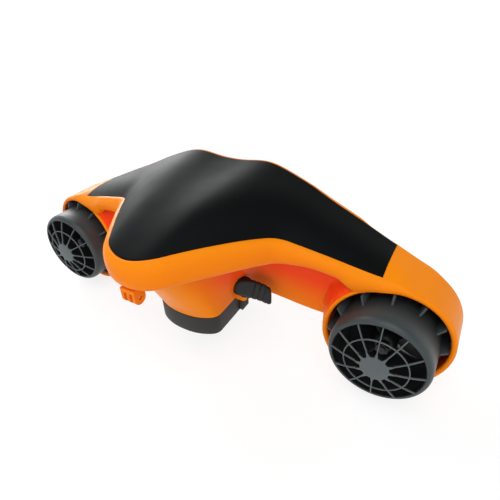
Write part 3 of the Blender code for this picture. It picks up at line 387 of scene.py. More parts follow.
def grained(wire, shader, height, strength, distance=0.0003):
    """A bump of that height on the surface."""
    bump = wire.node("Bump", {"Height": height, "Strength": strength, "Distance": distance})
    feed(bump, shader, "Normal")


orange, shader, wire = new_finish("orange_abs", IOR=1.5, Specular_IOR_Level=0.04)
body_colour = blended(wire, noise(wire, 26, 3), (0.86, 0.236, 0.005, 1), (0.90, 0.258, 0.007, 1))
# Painted shade: the orange turns red where the mesh's depth says, for the shade in recesses and hoops.
feed(blended(wire, painted_shade_of(wire), body_colour, (0.92, 0.037, 0.012, 1)), shader, "Base Color")
feed(0.25 + 0.12 * noise(wire, 120, 4), shader, "Roughness")
grained(wire, shader, noise(wire, 900, 2) + 0.4 * noise(wire, 3200, 1), 0.05)

outer = formed(150, 64, tub_point, tub_painted_shade)
inner = formed(150, 12, lambda u, v: tub_point(u, v, shell_wall, floor_thick), tub_painted_shade)
hatch = [(-hatch_half, hatch_front), (hatch_half, hatch_front)]
hatch += [(hatch_half, hatch_rear), (-hatch_half, hatch_rear)]
for bm, level in ((outer, floor_z), (inner, floor_z + floor_thick)):
    other_half(bm)
    around = [e for e in bm.edges if e.is_boundary and all(v.co.z < level + 0.1 for v in e.verts)]
    corners = [bm.verts.new((x, y, level)) for x, y in hatch]
    sides = [bm.edges.new((corners[i - 1], corners[i])) for i in range(len(corners))]
    bmesh.ops.triangle_fill(bm, edges=around + sides, use_beauty=True)
bm = gathered([outer, inner])
rims = [e for e in bm.edges if e.is_boundary and e.verts[0].co.z > floor_z + rim_clear]
bmesh.ops.bridge_loops(bm, edges=rims)
bmesh.ops.bridge_loops(bm, edges=[e for e in bm.edges if e.is_boundary])
parts = [bm]
for side, _ in both_sides:
    ledge = post(side * ledge_place.x, ledge_place.y, ledge_low, ledge_high, ledge_r)
    for v in ledge.verts:
        if side * v.co.x < ledge_place.x:
            v.co.x -= side * ledge_root
    parts.append(ledge)
tub = put("lower_shell_moulding", gathered(parts), orange)
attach(tub, "hull")
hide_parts("lower_shell")

# Upper shell: the orange carrier of the deck with its rolled skirt, drawn out at each wing into a hood that
# runs on as the hoop round the thruster. It is moulded in the same ABS, and the black panel lies in a
# shallow well in it.
skirt_bulge = 6.8
# Painted shade: the low part of the skirt's front is turned a touch redder.
skirt_painted_shade = 0.13
hood_span = 176, 207
hood_fill = 4.4
hood_fill_span = math.radians(50), math.radians(78)
hood_crown = 1.8
lip_span = 140, 164
roof_wall = 3
panel_half = 177.5
panel_deep = 1.3
crowns = [(0, 9.4), (37, 9), (70, 8), (110, 5), (175, 2.5), (205, 1.2)]
crown_lead = 0.42
lip = hoop_wall / 2
hood_angle = math.acos((wing_end - axis_x) / hoop_outer)
hoop_turn = math.radians(352)
hoop_tuck = math.radians(255), math.radians(300)
tuck_slim = 0.25
# Painted shade: the inside of the hoop is turned red.
hoop_painted_shade = 0.8
hoop_shade_span = 190, 210
roll_rows = 14
inside_rows = 5
under_rows = 16
well_rows = 40
wing_columns = 82
hoop_columns = 84
well_wall = 0.01


def deck_point(x, t):
    """A point of the deck: t runs from its front edge to its rear edge."""
    front, rear = front_edge(x), rear_edge(x)
    low, high = softened(front_heights, x), softened(rear_heights, x)
    crown = softened(crowns, x) * math.sin(math.pi * (t + crown_lead * t * (1 - t)))
    return Vector((x, front + t * (rear - front), low + t * (high - low) + crown))


def hoop_point(angle, radius, share, forward=0.0):
    """A point of the hoop: share runs from its front to its rear, short of the rounded lips. Where the
    hoop's end passes under the hood again, it is a little slimmer, so that the hood covers it."""
    tuck = step(*hoop_tuck, hood_angle - angle)
    radius += tuck_slim * tuck * (hoop_outer - lip - radius)
    x, z = axis_x + radius * math.cos(angle), axis_z + radius * math.sin(angle)
    front = hoop_front + hoop_sweep * (x - axis_x) + lip + tuck
    rear = hoop_rear - lip - tuck + hood_fill * step(*hood_fill_span, angle)
    return Vector((x, front + share * (rear - front) - forward, z))


section = [("front", k / roll_rows) for k in range(roll_rows + 1)]
section += [("front inside", k / inside_rows) for k in range(inside_rows + 1)]
section += [("under", k / under_rows) for k in range(under_rows + 1)]
section += [("rear inside", 1 - k / inside_rows) for k in range(inside_rows + 1)]
section += [("rear", 1 - k / roll_rows) for k in range(roll_rows + 1)]
section += [("top", 1)] + [("well", 1 - k / well_rows) for k in range(well_rows + 1)] + [("top", 0)]
spans = [wing_end * k / wing_columns for k in range(wing_columns + 1)]
spans = [x for x in spans if abs(x - panel_half) > 0.9] + [panel_half - well_wall, panel_half + well_wall]
columns = [(x, None) for x in sorted(spans)]
columns += [(wing_end, hood_angle - hoop_turn * k / hoop_columns) for k in range(1, hoop_columns + 1)]


def shell_row(u, v):
    """How far out a grid point lies, its angle on the hoop, and its stretch and share of the section."""
    x, angle = columns[round(u * (len(columns) - 1))]
    kind, share = section[round(v * (len(section) - 1))]
    if angle is None:
        angle = math.acos(min(max((x - axis_x) / hoop_outer, -1), 1))
    else:
        x = wing_end + (hood_angle - angle) * hoop_outer
    return x, angle, kind, share


def shell_point(u, v):
    """A point of the shell: the deck and its skirt, going over into the hoop beyond the hood."""
    x, angle, kind, share = shell_row(u, v)
    hood = step(*hood_span, x)
    lip_hood = step(*lip_span, x)
    station = min(x, wing_end)
    skirt_high = eased(skirt_heights, station)
    crown = Vector((0, 0, hood_crown * 4 * hood * (1 - hood)))
    if kind in ("top", "well", "under"):
        drop = {"top": 0, "well": panel_deep if x < panel_half else 0, "under": roof_wall}[kind]
        on_deck = deck_point(station, share) - Vector((0, 0, drop))
        on_hoop = hoop_point(angle, hoop_outer - (hoop_wall if kind == "under" else 0), share)
        return on_deck.lerp(on_hoop, hood) + crown
    front = kind.startswith("front")
    inside = kind.endswith("inside")
    corner, out = edge(station, front)
    turn = math.pi * (1 - share if inside else share)
    bulge = skirt_bulge * max(math.sin(turn), 0) ** 0.75
    rolled = (1 - math.cos(turn)) / 2
    if inside:
        fall = roof_wall + (skirt_high - roof_wall) * rolled
        on_deck = corner + out * (bulge - roof_wall) - Vector((0, 0, fall))
        on_hoop = hoop_point(angle, hoop_outer - hoop_wall, 0 if front else 1)
        weight = hood + (lip_hood - hood) * (1 - share)
    else:
        on_deck = corner + out * bulge - Vector((0, 0, skirt_high * rolled))
        forward = lip * math.sin(turn) * (1 if front else -1)
        on_hoop = hoop_point(angle, hoop_outer - lip + lip * math.cos(turn), 0 if front else 1, forward)
        weight = hood + (lip_hood - hood) * share
    return on_deck.lerp(on_hoop, weight) + crown * (1 - share)


def shell_painted_shade(u, v):
    """Painted shade: the low part of the skirt's front is a touch redder, and the inside of the hoop red."""
    x, _, kind, share = shell_row(u, v)
    if kind == "front":
        return skirt_painted_shade * step(0.1, 0.6, share)
    return hoop_painted_shade * step(*hoop_shade_span, x) if kind in ("under", "front inside", "rear inside") else 0


bm = formed(len(columns) - 1, len(section) - 1, shell_point, shell_painted_shade)
bmesh.ops.remove_doubles(bm, verts=bm.verts, dist=weld)
bmesh.ops.holes_fill(bm, edges=[e for e in bm.edges if e.is_boundary and e.verts[0].co.x > 1], sides=0)
other_half(bm)
carrier = put("upper_shell_moulding", bm, orange)
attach(carrier, "hull")
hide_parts("upper_shell", "left_nacelle", "right_nacelle")

# Deck panel: a thin black cover bonded into the well of the upper shell, flush with the orange round it.
# It is moulded with a soft-touch satin finish and a fine even grain.
panel_gap = 0.3
panel_thick = 1
panel_edge = 0.25
deck_length = 120

satin, shader, wire = new_finish("satin_black", IOR=1.5, Specular_IOR_Level=0.09,
                                 Specular_Tint=(0.86, 0.99, 1, 1))
cloud = noise(wire, 14, 3)
feed(blended(wire, cloud, (0.0008, 0.0011, 0.0013, 1), (0.0014, 0.0018, 0.0020, 1)), shader, "Base Color")
feed(0.5 + 0.12 * noise(wire, 60, 4), shader, "Roughness")
grain = wire.node("TexVoronoi", {"Vector": wire.node("TexCoord", output="Object"), "Scale": 1500})
grained(wire, shader, grain, 0.06, 0.0002)


def panel_point(u, v):
    """A point of the panel, which keeps a gap to the well all round."""
    gap_share = panel_gap / deck_length
    return deck_point((2 * u - 1) * (panel_half - panel_gap), gap_share + v * (1 - 2 * gap_share))


def eased_edges(piece, width, least_angle):
    """Rounds the sharp edges of a piece."""
    rounding = piece.modifiers.new("rounding", "BEVEL")
    rounding.width = width * 0.001
    rounding.segments = 2
    rounding.limit_method = "ANGLE"
    rounding.angle_limit = math.radians(least_angle)


panel = put("deck_cover", formed(180, 64, panel_point), satin)
wall = panel.modifiers.new("wall", "SOLIDIFY")
wall.thickness = panel_thick * 0.001
eased_edges(panel, panel_edge, 60)
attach(panel, "hull")
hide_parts("deck_panel")

# Camera mount: three orange fingers under the nose, for the usual action camera foot and its thumb screw.
# They are moulded as one small ABS piece and fixed up into the lip of the skirt.
mount_y = -80.75
mount_top = 122.7
finger_hole = 2
finger_r = 6.2
finger_thick = 3
finger_pitch = 6.1
finger_drop = 10.2
finger_edge = 0.3
lug_painted_shade = 0.2
hole_z = mount_top - finger_drop
lug_half = finger_pitch + finger_thick / 2


def drawn_out(corners, way):
    """A flat outline drawn out into a solid."""
    bm = bmesh.new()
    face = bm.faces.new([bm.verts.new(corner) for corner in corners])
    grown = bmesh.ops.extrude_face_region(bm, geom=[face])
    moved = [v for v in grown["geom"] if isinstance(v, bmesh.types.BMVert)]
    bmesh.ops.translate(bm, verts=moved, vec=way)
    return bm


def block(middle, size):
    """A box of that size round its middle."""
    bm = bmesh.new()
    bmesh.ops.create_cube(bm, size=1)
    bmesh.ops.scale(bm, verts=bm.verts, vec=size)
    bmesh.ops.translate(bm, verts=bm.verts, vec=middle)
    return bm


def cut(piece, tool):
    """Cuts a tool from a piece for good, and removes the tool."""
    change = piece.modifiers.new("cut", "BOOLEAN")
    change.operation = "DIFFERENCE"
    change.solver = "EXACT"
    change.object = tool
    shaped = piece.evaluated_get(bpy.context.evaluated_depsgraph_get())
    mesh = bpy.data.meshes.new_from_object(shaped)
    piece.modifiers.clear()
    piece.data = mesh
    mesh.set_sharp_from_angle(angle=math.radians(35))
    bpy.data.objects.remove(tool)


outline = [(-finger_r, finger_drop), (finger_r, finger_drop)]
outline += [(finger_r * math.cos(a), -finger_r * math.sin(a)) for a in (math.pi * k / 20 for k in range(21))]
flank = [(-lug_half, mount_y + y, hole_z + z) for y, z in outline]
lug = put("camera_lug", drawn_out(flank, (2 * lug_half, 0, 0)), orange)
slot_size = finger_pitch - finger_thick, 4 * finger_r, 4 * finger_r
for side, _ in both_sides:
    slot = block((side * finger_pitch / 2, mount_y, hole_z - finger_r), slot_size)
    cut(lug, put("slot_cutter", slot, orange))
bm = post(0, 0, -2 * lug_half, 2 * lug_half, finger_hole)
bmesh.ops.rotate(bm, verts=bm.verts, cent=(0, 0, 0), matrix=Matrix.Rotation(math.pi / 2, 3, "Y"))
bmesh.ops.translate(bm, verts=bm.verts, vec=(0, mount_y, hole_z))
cut(lug, put("hole_cutter", bm, orange))
# Painted shade: the mount's orange is turned a touch redder all over.
shade = lug.data.attributes.new("depth", "FLOAT", "POINT")
shade.data.foreach_set("value", [lug_painted_shade] * len(lug.data.vertices))
eased_edges(lug, finger_edge, 50)
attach(lug, "hull")
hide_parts("camera_mount")

# Battery base: the dark warm-grey lower half of the drop-out battery, moulded in glass-filled nylon with a
# fine spark-eroded texture. Its top edge meets the pod flush, and each flank has a pocket for a release
# button.
base_bottom = 27.7
base_top = 50.6
bottom_round = 2.2
top_round = 0.6
button_y = 29.5
button_half = 6.5
button_low = 29.35
button_high = 50.2
pocket_gap = 0.4
pocket_deep = 7
pocket_x = pod_half - 0.5

nylon, shader, wire = new_finish("warm_grey_nylon", IOR=1.5, Specular_IOR_Level=0.3)
cloud = noise(wire, 30, 3)
feed(blended(wire, cloud, (0.017, 0.0175, 0.016, 1), (0.024, 0.0245, 0.0225, 1)), shader, "Base Color")
feed(0.46 + 0.14 * noise(wire, 240, 3), shader, "Roughness")
grained(wire, shader, noise(wire, 1400, 3), 0.12)

tail_middle = Vector((0, pod_rear))
half = pod_bow + pod_turn + rounded(pod_side, pod_turn[-1], tail_middle, pod_corner) + [tail_middle]
loop = half + [Vector((-p.x, p.y)) for p in reversed(half[1:-1])]
bm = drawn_out([(p.x, p.y, base_bottom) for p in loop], (0, 0, base_top - base_bottom))
for level, size in ((base_bottom, bottom_round), (base_top, top_round)):
    ring = [e for e in bm.edges if all(abs(v.co.z - level) < 0.01 for v in e.verts)]
    bmesh.ops.bevel(bm, geom=ring, offset=size, segments=5, profile=0.5, affect="EDGES", material=-1)
base = put("battery_tray", bm, nylon)
pocket_low, pocket_high = button_low - pocket_gap, base_top + 1
pocket_size = pocket_deep, 2 * (button_half + pocket_gap), pocket_high - pocket_low
for side, _ in both_sides:
    pocket = block((side * pocket_x, button_y, (pocket_low + pocket_high) / 2), pocket_size)
    cut(base, put("pocket_cutter", pocket, nylon))
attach(base, "battery_pack")
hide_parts("battery_base")

# Release buttons: one ribbed nylon pad in each flank of the battery, squeezed together to let it drop. Each
# slides in its pocket on a spring, and four raised bars give the thumb a grip.
pad_x = pod_half + 1.3
pad_size = 5.2, 2 * button_half, button_high - button_low
bars = 4
bar_x = pod_half + 4.1
bar_size = 1, 1.4, button_high - button_low - 4
bar_pitch = 3
button_round = 0.35

pad, shader, wire = new_finish("button_grey", IOR=1.5, Specular_IOR_Level=0.4)
cloud = noise(wire, 90, 3)
feed(blended(wire, cloud, (0.022, 0.022, 0.021, 1), (0.034, 0.033, 0.031, 1)), shader, "Base Color")
feed(0.5 + 0.12 * noise(wire, 300, 2), shader, "Roughness")
grained(wire, shader, noise(wire, 1600, 2), 0.1)

for side, name in both_sides:
    middle_z = (button_low + button_high) / 2
    blocks = [block((side * pad_x, button_y, middle_z), pad_size)]
    for k in range(bars):
        bar_y = button_y + (k - (bars - 1) / 2) * bar_pitch
        blocks.append(block((side * bar_x, bar_y, middle_z), bar_size))
    bm = gathered(blocks)
    bmesh.ops.bevel(bm, geom=bm.edges[:], offset=button_round, segments=3, profile=0.5, affect="EDGES",
                    material=-1)
    button = put(f"{name}_button_pad", bm, pad)
    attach(button, f"{name}_button")
    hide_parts(f"{name}_release_button")

# Triggers: a black finger lever at each side of the pod, which turns on a steel pin above an orange ledge.
# It is moulded in rubbery nylon, with a round cap over the pin and a drooping paddle that is grooved for
# the finger.
lever_run = Vector((38.8, 9.6)), Vector((50, 20.5)), Vector((76, 22))
lever_half = 5, 3.2
lever_low = 57
lever_high = 80
lever_droop = 5.6
lever_relief = 3
inner_round = 0.24
outer_round = 0.1
grooves = 4
groove_first = 57.5
groove_pitch = 5.5
groove_half = 0.6
groove_lean = 0.25
lobe_r = 6.5
lobe_low = 57.4
lobe_high = 77.4
lobe_dome = 3
pin_r = 2
spring_r = 4.2
spring_wire = 0.45
spring_low = 72
spring_high = spring_low + 8 * spring_wire
spring_gap = 0.4

grip, shader, wire = new_finish("trigger_rubber", IOR=1.5, Specular_IOR_Level=0.3)
cloud = noise(wire, 70, 3)
feed(blended(wire, cloud, (0.007, 0.0076, 0.0078, 1), (0.012, 0.013, 0.0132, 1)), shader, "Base Color")
feed(0.45 + 0.15 * noise(wire, 400, 2), shader, "Roughness")
grained(wire, shader, noise(wire, 1800, 2), 0.1)


def squared_off(value, power):
    """Raises a sine or cosine to a power and keeps its sign, which squares off a round section."""
    return math.copysign(abs(value) ** power, value)


def lever_point(u, v):
    """Sections along the lever, from its round inner end past the pin to the drooping tip."""
    s = (1 - math.cos(math.pi * u)) / 2
    start, bend, tip = lever_run
    middle = start.lerp(bend, s).lerp(bend.lerp(tip, s), s)
    along = (bend - start).lerp(tip - bend, s).normalized()
    inner_end = math.sqrt(1 - (1 - min(s / inner_round, 1)) ** 2)
    outer_end = math.sqrt(1 - (1 - min((1 - s) / outer_round, 1)) ** 2)
    thick = (lever_half[0] + (lever_half[1] - lever_half[0]) * s) * inner_end * outer_end
    top = lever_high - lever_droop * (1.2 * s**3 + 0.6 * (1 - s) ** 6)
    low = lever_low - lever_droop * s**3 + lever_relief * (1 - step(0.3, 0.5, s))
    tall = (top - low) / 2 * (0.3 + 0.7 * inner_end) * (0.6 + 0.4 * outer_end)
    turn = math.tau * v
    rise = tall * squared_off(math.sin(turn), 0.6)
    beside = middle.x - groove_first - groove_lean * rise
    groove = sum(math.exp(-((beside - groove_pitch * k) / groove_half) ** 2) for k in range(grooves))
    across = thick * squared_off(math.cos(turn), 0.75) * (1 - 0.25 * groove)
    rise *= 1 - 0.05 * groove
    return Vector((middle.x + along.y * across, middle.y - along.x * across, (top + low) / 2 + rise))


def upright(profile):
    """Spins (radius, height) points about the trigger's pin into a closed ring."""
    bm = bmesh.new()
    points = [bm.verts.new((r, 0, z)) for r, z in profile]
    sides = [bm.edges.new((points[i - 1], points[i])) for i in range(len(points))]
    bmesh.ops.spin(bm, geom=points + sides, cent=(0, 0, 0), axis=(0, 0, 1), angle=math.tau,
                   steps=round_steps, use_merge=True)
    bmesh.ops.remove_doubles(bm, verts=bm.verts, dist=weld)
    bmesh.ops.translate(bm, verts=bm.verts, vec=(pivot.x, pivot.y, 0))
    return bm


bore_r = pin_r + 0.2
well_r = spring_r + 2 * spring_wire
well_low = spring_low - spring_gap
dome_turns = [math.pi / 2 * k / 8 for k in range(9)]
lobe_profile = [(bore_r, lobe_low), (lobe_r - 1, lobe_low)]
lobe_profile += [(lobe_r - 0.3, lobe_low + 0.3), (lobe_r, lobe_low + 1)]
lobe_profile += [(lobe_r * math.cos(a), lobe_high - lobe_dome + lobe_dome * math.sin(a)) for a in dome_turns]
lobe_profile += [(0, spring_high), (well_r, spring_high), (well_r, well_low), (bore_r, well_low)]
for side, name in both_sides:
    lever = formed(160, 48, lever_point)
    bmesh.ops.remove_doubles(lever, verts=lever.verts, dist=weld)
    bm = gathered([lever, upright(lobe_profile)])
    bmesh.ops.scale(bm, verts=bm.verts, vec=(side, 1, 1))
    lever = put(f"{name}_finger_lever", bm, grip)
    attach(lever, f"{name}_trigger_arm")
    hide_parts(f"{name}_trigger")

# Trigger pins and springs: a short steel pin up from the ledge into each lever's cap, and a coil of music
# wire round its top that turns the lever back. Both stay out of sight in the cap.
oiled, shader, wire = new_finish("oiled_steel", Metallic=1.0)
stain = noise(wire, 300, 3)
feed(blended(wire, stain, (0.05, 0.05, 0.052, 1), (0.09, 0.09, 0.092, 1)), shader, "Base Color")
feed(0.38 + 0.2 * stain, shader, "Roughness")


def coil_point(u, v):
    """Two turns of round wire."""
    turn, round_wire = 2 * math.tau * u, math.tau * v
    r = spring_r + spring_wire * math.cos(round_wire)
    z = spring_low + spring_wire * (1 + math.sin(round_wire)) + 6 * spring_wire * u
    return Vector((pivot.x + r * math.cos(turn), pivot.y + r * math.sin(turn), z))


for side, name in both_sides:
    bm = post(side * pivot.x, pivot.y, ledge_low + 1, spring_high - spring_gap, pin_r)
    pin = put(f"{name}_hinge_pin", bm, oiled)
    bm = formed(64, 10, coil_point)
    bmesh.ops.remove_doubles(bm, verts=bm.verts, dist=weld)
    bmesh.ops.holes_fill(bm, edges=[e for e in bm.edges if e.is_boundary], sides=0)
    bmesh.ops.scale(bm, verts=bm.verts, vec=(side, 1, 1))
    coil = put(f"{name}_return_coil", bm, oiled)
    for piece, node in ((pin, f"{name}_trigger_pin"), (coil, f"{name}_trigger_spring")):
        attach(piece, "hull")
        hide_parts(node)

# Ducts: the dark grey tube round each propeller, with a rounded lip at the front and a seat in its outlet.
# Twelve ribs and a thin web hold it in the orange hoop. It is one moulding in glass-filled nylon.
rim_y = -6.25
duct_outer = 44.5
duct_bore = 39.5
duct_rear = 92
duct_waist = 36
duct_slim = 1
lip_flat = 0.8
lip_wide = duct_outer - duct_bore - lip_flat
lip_long = 6.5
seat_deep = 5
seat_step = 1.6
# Painted shade: the duct's outside is painted darker towards its root.
root_painted_shade = 0.75
root_span = 12, 28.7
ribs = 12
rib_toe = 22.7
rib_heel = 28.5
rib_rear = 58
rib_thick = 2
rib_round = 0.35
web_front = rib_rear - 3
web_rear = rib_rear - 1

graphite, shader, wire = new_finish("graphite_nylon", IOR=1.5, Specular_IOR_Level=0.28)
tube_colour = blended(wire, noise(wire, 34, 3), (0.034, 0.043, 0.045, 1), (0.049, 0.060, 0.063, 1))
# Painted shade: the marked parts of the duct are painted near black, and made rougher too.
duct_painted_shade = painted_shade_of(wire)
feed(blended(wire, duct_painted_shade, tube_colour, (0.004, 0.0045, 0.005, 1)), shader, "Base Color")
feed(0.34 + 0.12 * noise(wire, 180, 3) + 0.4 * duct_painted_shade, shader, "Roughness")
grained(wire, shader, noise(wire, 1500, 2), 0.06)


def spun(profile, steps, shaded_within=0, shaded_behind=math.inf):
    """Spins (radius, place behind the rim) points about the thruster's axis into a closed ring. Points
    inside the given radius are painted dark, and points behind the given place partly dark: painted shade."""
    bm = bmesh.new()
    layer = bm.verts.layers.float.new("depth")
    points = [bm.verts.new((r, y, 0)) for r, y in profile]
    for point in points:
        point[layer] = 1 if point.co.x < shaded_within else root_painted_shade * (point.co.y > shaded_behind)
    sides = [bm.edges.new((points[i - 1], points[i])) for i in range(len(points))]
    bmesh.ops.spin(bm, geom=points + sides, cent=(0, 0, 0), axis=(0, 1, 0), angle=math.tau, steps=steps,
                   use_merge=True)
    bmesh.ops.remove_doubles(bm, verts=bm.verts, dist=weld)
    return bm


def turned(bm, angle):
    """Turns a mesh about the thruster's axis."""
    bmesh.ops.rotate(bm, verts=bm.verts, cent=(0, 0, 0), matrix=Matrix.Rotation(angle, 3, "Y"))
    return bm


def at_thruster(bm, side):
    """Moves a mesh from the origin to the thruster on that side."""
    bmesh.ops.translate(bm, verts=bm.verts, vec=(side * axis_x, rim_y, axis_z))
    return bm


def rib(angle, side):
    """A gusset from the duct out to the hoop. Its front edge slopes, and follows the sweep of the hoop."""
    back = hoop_sweep * side * math.cos(angle) * hoop_outer
    low, high = duct_outer - 2.4, hoop_outer - hoop_wall - 0.7
    outline = ((low, rib_toe + back), (high, rib_heel + back), (high, rib_rear), (low, rib_rear))
    bm = drawn_out([(r, y, -rib_thick / 2) for r, y in outline], (0, 0, rib_thick))
    bmesh.ops.bevel(bm, geom=bm.edges[:], offset=rib_round, segments=2, profile=0.5, affect="EDGES",
                    material=-1)
    return turned(bm, angle)


waist_r = duct_outer - duct_slim
outlet_r = duct_bore + seat_step
lip_turns = [math.pi / 2 * k / 10 for k in range(11)]
duct_profile = [(duct_bore, 8), (duct_bore, 0.9), (duct_bore + 0.3, 0.2)]
for a in lip_turns:
    duct_profile.append((duct_bore + lip_flat + lip_wide * math.sin(a), lip_long - lip_long * math.cos(a)))
duct_profile += [(duct_outer, y) for y in root_span]
duct_profile += [(waist_r, duct_waist), (waist_r, duct_rear - 3), (waist_r - 1, duct_rear - 0.6)]
duct_profile += [(waist_r - 1.8, duct_rear), (outlet_r, duct_rear), (outlet_r, duct_rear - seat_deep)]
duct_profile += [(duct_bore, duct_rear - seat_deep - seat_step)]
for side, name in both_sides:
    low, high = duct_outer - 2, hoop_outer - hoop_wall - 0.6
    web_profile = [(low, web_front), (high, web_front), (high, web_rear), (low, web_rear)]
    # Painted shade: the duct's bore and root and the whole web are painted dark.
    parts = [spun(duct_profile, 128, duct_bore + 0.2, rib_toe), spun(web_profile, 128, high + 1)]
    parts += [rib(math.tau * k / ribs, side) for k in range(ribs)]
    duct = put(f"{name}_thruster_duct", at_thruster(gathered(parts), side), graphite)
    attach(duct, "hull")
    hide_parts(f"{name}_duct")

# Grilles: the domed guard in the mouth of each duct, with a rim, twelve slim spokes, a middle ring and a
# solid hub whose edge is scalloped between the spokes. It is one nylon moulding, pressed into the duct.
grille_rim = 40.8
grille_dome = 8.5
grille_ring = 27.5
ring_wide = 1.2
ring_deep = 1.6
rim_profile = (39.2, 1.2), (40, 1.2), (40, 4.7), (39.2, 4.7)
grille_spokes = 12
hub_r = 12.2
hub_fillet = 5.5
hub_deep = 3.4
hub_face = 0.7
spoke_half = 0.55
spoke_deep = 1.8

grille_grey, shader, wire = new_finish("grille_grey_nylon", IOR=1.5, Specular_IOR_Level=0.4)
guard_colour = blended(wire, noise(wire, 40, 3), (0.070, 0.086, 0.090, 1), (0.097, 0.116, 0.121, 1))
# Painted shade: the grille's rim and the hub's sides are painted near black.
feed(blended(wire, painted_shade_of(wire), guard_colour, (0.004, 0.0045, 0.005, 1)), shader, "Base Color")
feed(0.4 + 0.14 * noise(wire, 180, 3), shader, "Roughness")
grained(wire, shader, noise(wire, 1500, 2), 0.06)


def dome(r):
    """How far the grille stands ahead of its rim at that radius."""
    return grille_dome * (1 - (r / grille_rim) ** 2)


def hub_point(u, v):
    """The hub's front and sides: u goes round, v goes out over the front and back along the edge."""
    turn = math.tau * u
    edge_r = hub_r + hub_fillet * abs(math.cos(grille_spokes / 2 * turn)) ** 9
    out = min(v / hub_face, 1)
    r = edge_r * math.sin(out * math.pi / 2) ** 0.9
    y = -dome(r) - 0.5 * (1 - out**4) + hub_deep * max(v - hub_face, 0) / (1 - hub_face)
    return Vector((r * math.sin(turn), y, r * math.cos(turn)))


def hub_painted_shade(u, v):
    """Painted shade: the hub's sides are painted dark."""
    return step(hub_face, hub_face + 0.06, v)


def spoke(flat, inner_r):
    """A slim rounded bar from the hub to the rim."""
    def place(u, v):
        r = inner_r + (grille_rim - 0.8 - inner_r) * u
        turn = math.tau * v
        across = spoke_half * squared_off(math.cos(turn), 0.6)
        deep = spoke_deep / 2 * squared_off(math.sin(turn), 0.5)
        return Vector((across, spoke_deep / 2 + deep - (0 if flat else dome(r)), r))
    return formed(14, 16, place)


for side, name in both_sides:
    turns = [math.tau * k / 12 for k in range(12)]
    ring_y = ring_deep / 2 - dome(grille_ring) + 0.1
    ring = [(grille_ring + ring_wide / 2 * math.cos(a), ring_y + ring_deep / 2 * math.sin(a)) for a in turns]
    hub = formed(192, 20, hub_point, hub_painted_shade)
    bmesh.ops.remove_doubles(hub, verts=hub.verts, dist=weld)
    bmesh.ops.holes_fill(hub, edges=[e for e in hub.edges if e.is_boundary], sides=0)
    # Painted shade: the rim is painted dark all over.
    parts = [spun(rim_profile, 96, duct_outer), spun(ring, 96), hub]
    parts += [turned(spoke(False, hub_r - 2), math.tau * k / grille_spokes) for k in range(grille_spokes)]
    grille = put(f"{name}_spoke_grille", at_thruster(gathered(parts), side), grille_grey, 50)
    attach(grille, "hull")
    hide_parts(f"{name}_front_grille")

# Rear guards: the flat cover at each duct's outlet, with six slim spokes between a rim and a solid hub. It
# is moulded in the same nylon as the duct, and pressed into its seat.
guard_hub = 13
guard_spokes = 6
guard_y = duct_rear - seat_deep
hub_profile = [(0.01, 3.6), (guard_hub - 1, 3.4), (guard_hub, 2.6)]
hub_profile += [(guard_hub, 0.4), (guard_hub - 0.6, 0), (0.01, 0)]
guard_profile = [(39.2, 0), (40.8, 0), (40.8, 4.3), (40.2, 4.7), (39.2, 4.7)]

for side, name in both_sides:
    parts = [spun(hub_profile, 64), spun(guard_profile, 96)]
    parts += [turned(spoke(True, guard_hub - 3), math.tau * k / guard_spokes) for k in range(guard_spokes)]
    bm = gathered(parts)
    bmesh.ops.translate(bm, verts=bm.verts, vec=(0, guard_y, 0))
    guard = put(f"{name}_outlet_guard", at_thruster(bm, side), graphite, 50)
    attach(guard, "hull")
    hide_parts(f"{name}_rear_guard")

# Propellers: three broad twisted blades on a tapered hub, moulded in black nylon and held on the motor's
# shaft by a nut. The two sides turn opposite ways, so their blades are mirrored.
prop_hub = 11
prop_front = 22
prop_rear = 44
prop_tip = 37.9
prop_bore = 3.8
blades = 3
blade_chord = 9.5
blade_thick = 1.1
root_lean = 62
blade_twist = 34

black, shader, wire = new_finish("propeller_black", IOR=1.5, Specular_IOR_Level=0.3)
cloud = noise(wire, 50, 3)
feed(blended(wire, cloud, (0.005, 0.0055, 0.0058, 1), (0.009, 0.0098, 0.010, 1)), shader, "Base Color")
feed(0.34 + 0.12 * noise(wire, 200, 2), shader, "Roughness")
grained(wire, shader, noise(wire, 1200, 2), 0.05)


def blade(side):
    """One upright blade: u goes out along it, v round its section."""
    def place(u, v):
        root_r = prop_hub * 0.85
        r = root_r + (prop_tip - root_r) * u
        lean = math.radians(root_lean - blade_twist * u)
        chord = blade_chord / max(math.sin(lean), 0.5) * (0.9 + 0.25 * math.sin(math.pi * u) - 0.35 * u**3)
        chord *= math.sqrt(max(1 - max(u - 0.9, 0) ** 2 / 0.0101, 0))
        thick = blade_thick * (1 - 0.55 * u)
        turn = math.tau * v
        along, over = chord * math.cos(turn), thick * math.sin(turn)
        angle = side * (along * math.cos(lean) - over * math.sin(lean)) / r
        y = (prop_front + prop_rear) / 2 + along * math.sin(lean) + over * math.cos(lean)
        return Vector((r * math.sin(angle), y, r * math.cos(angle)))
    return formed(28, 28, place)


prop_profile = [(prop_bore, prop_front), (7.4, prop_front), (9.4, prop_front + 1.6)]
prop_profile += [(prop_hub, prop_front + 6), (prop_hub, prop_rear - 0.8), (prop_hub - 0.8, prop_rear)]
prop_profile += [(prop_bore, prop_rear)]
for side, name in both_sides:
    parts = [spun(prop_profile, 64)] + [turned(blade(side), math.tau * k / blades) for k in range(blades)]
    screw = put(f"{name}_blade_set", at_thruster(gathered(parts), side), black)
    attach(screw, f"{name}_spinner")
    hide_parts(f"{name}_propeller")

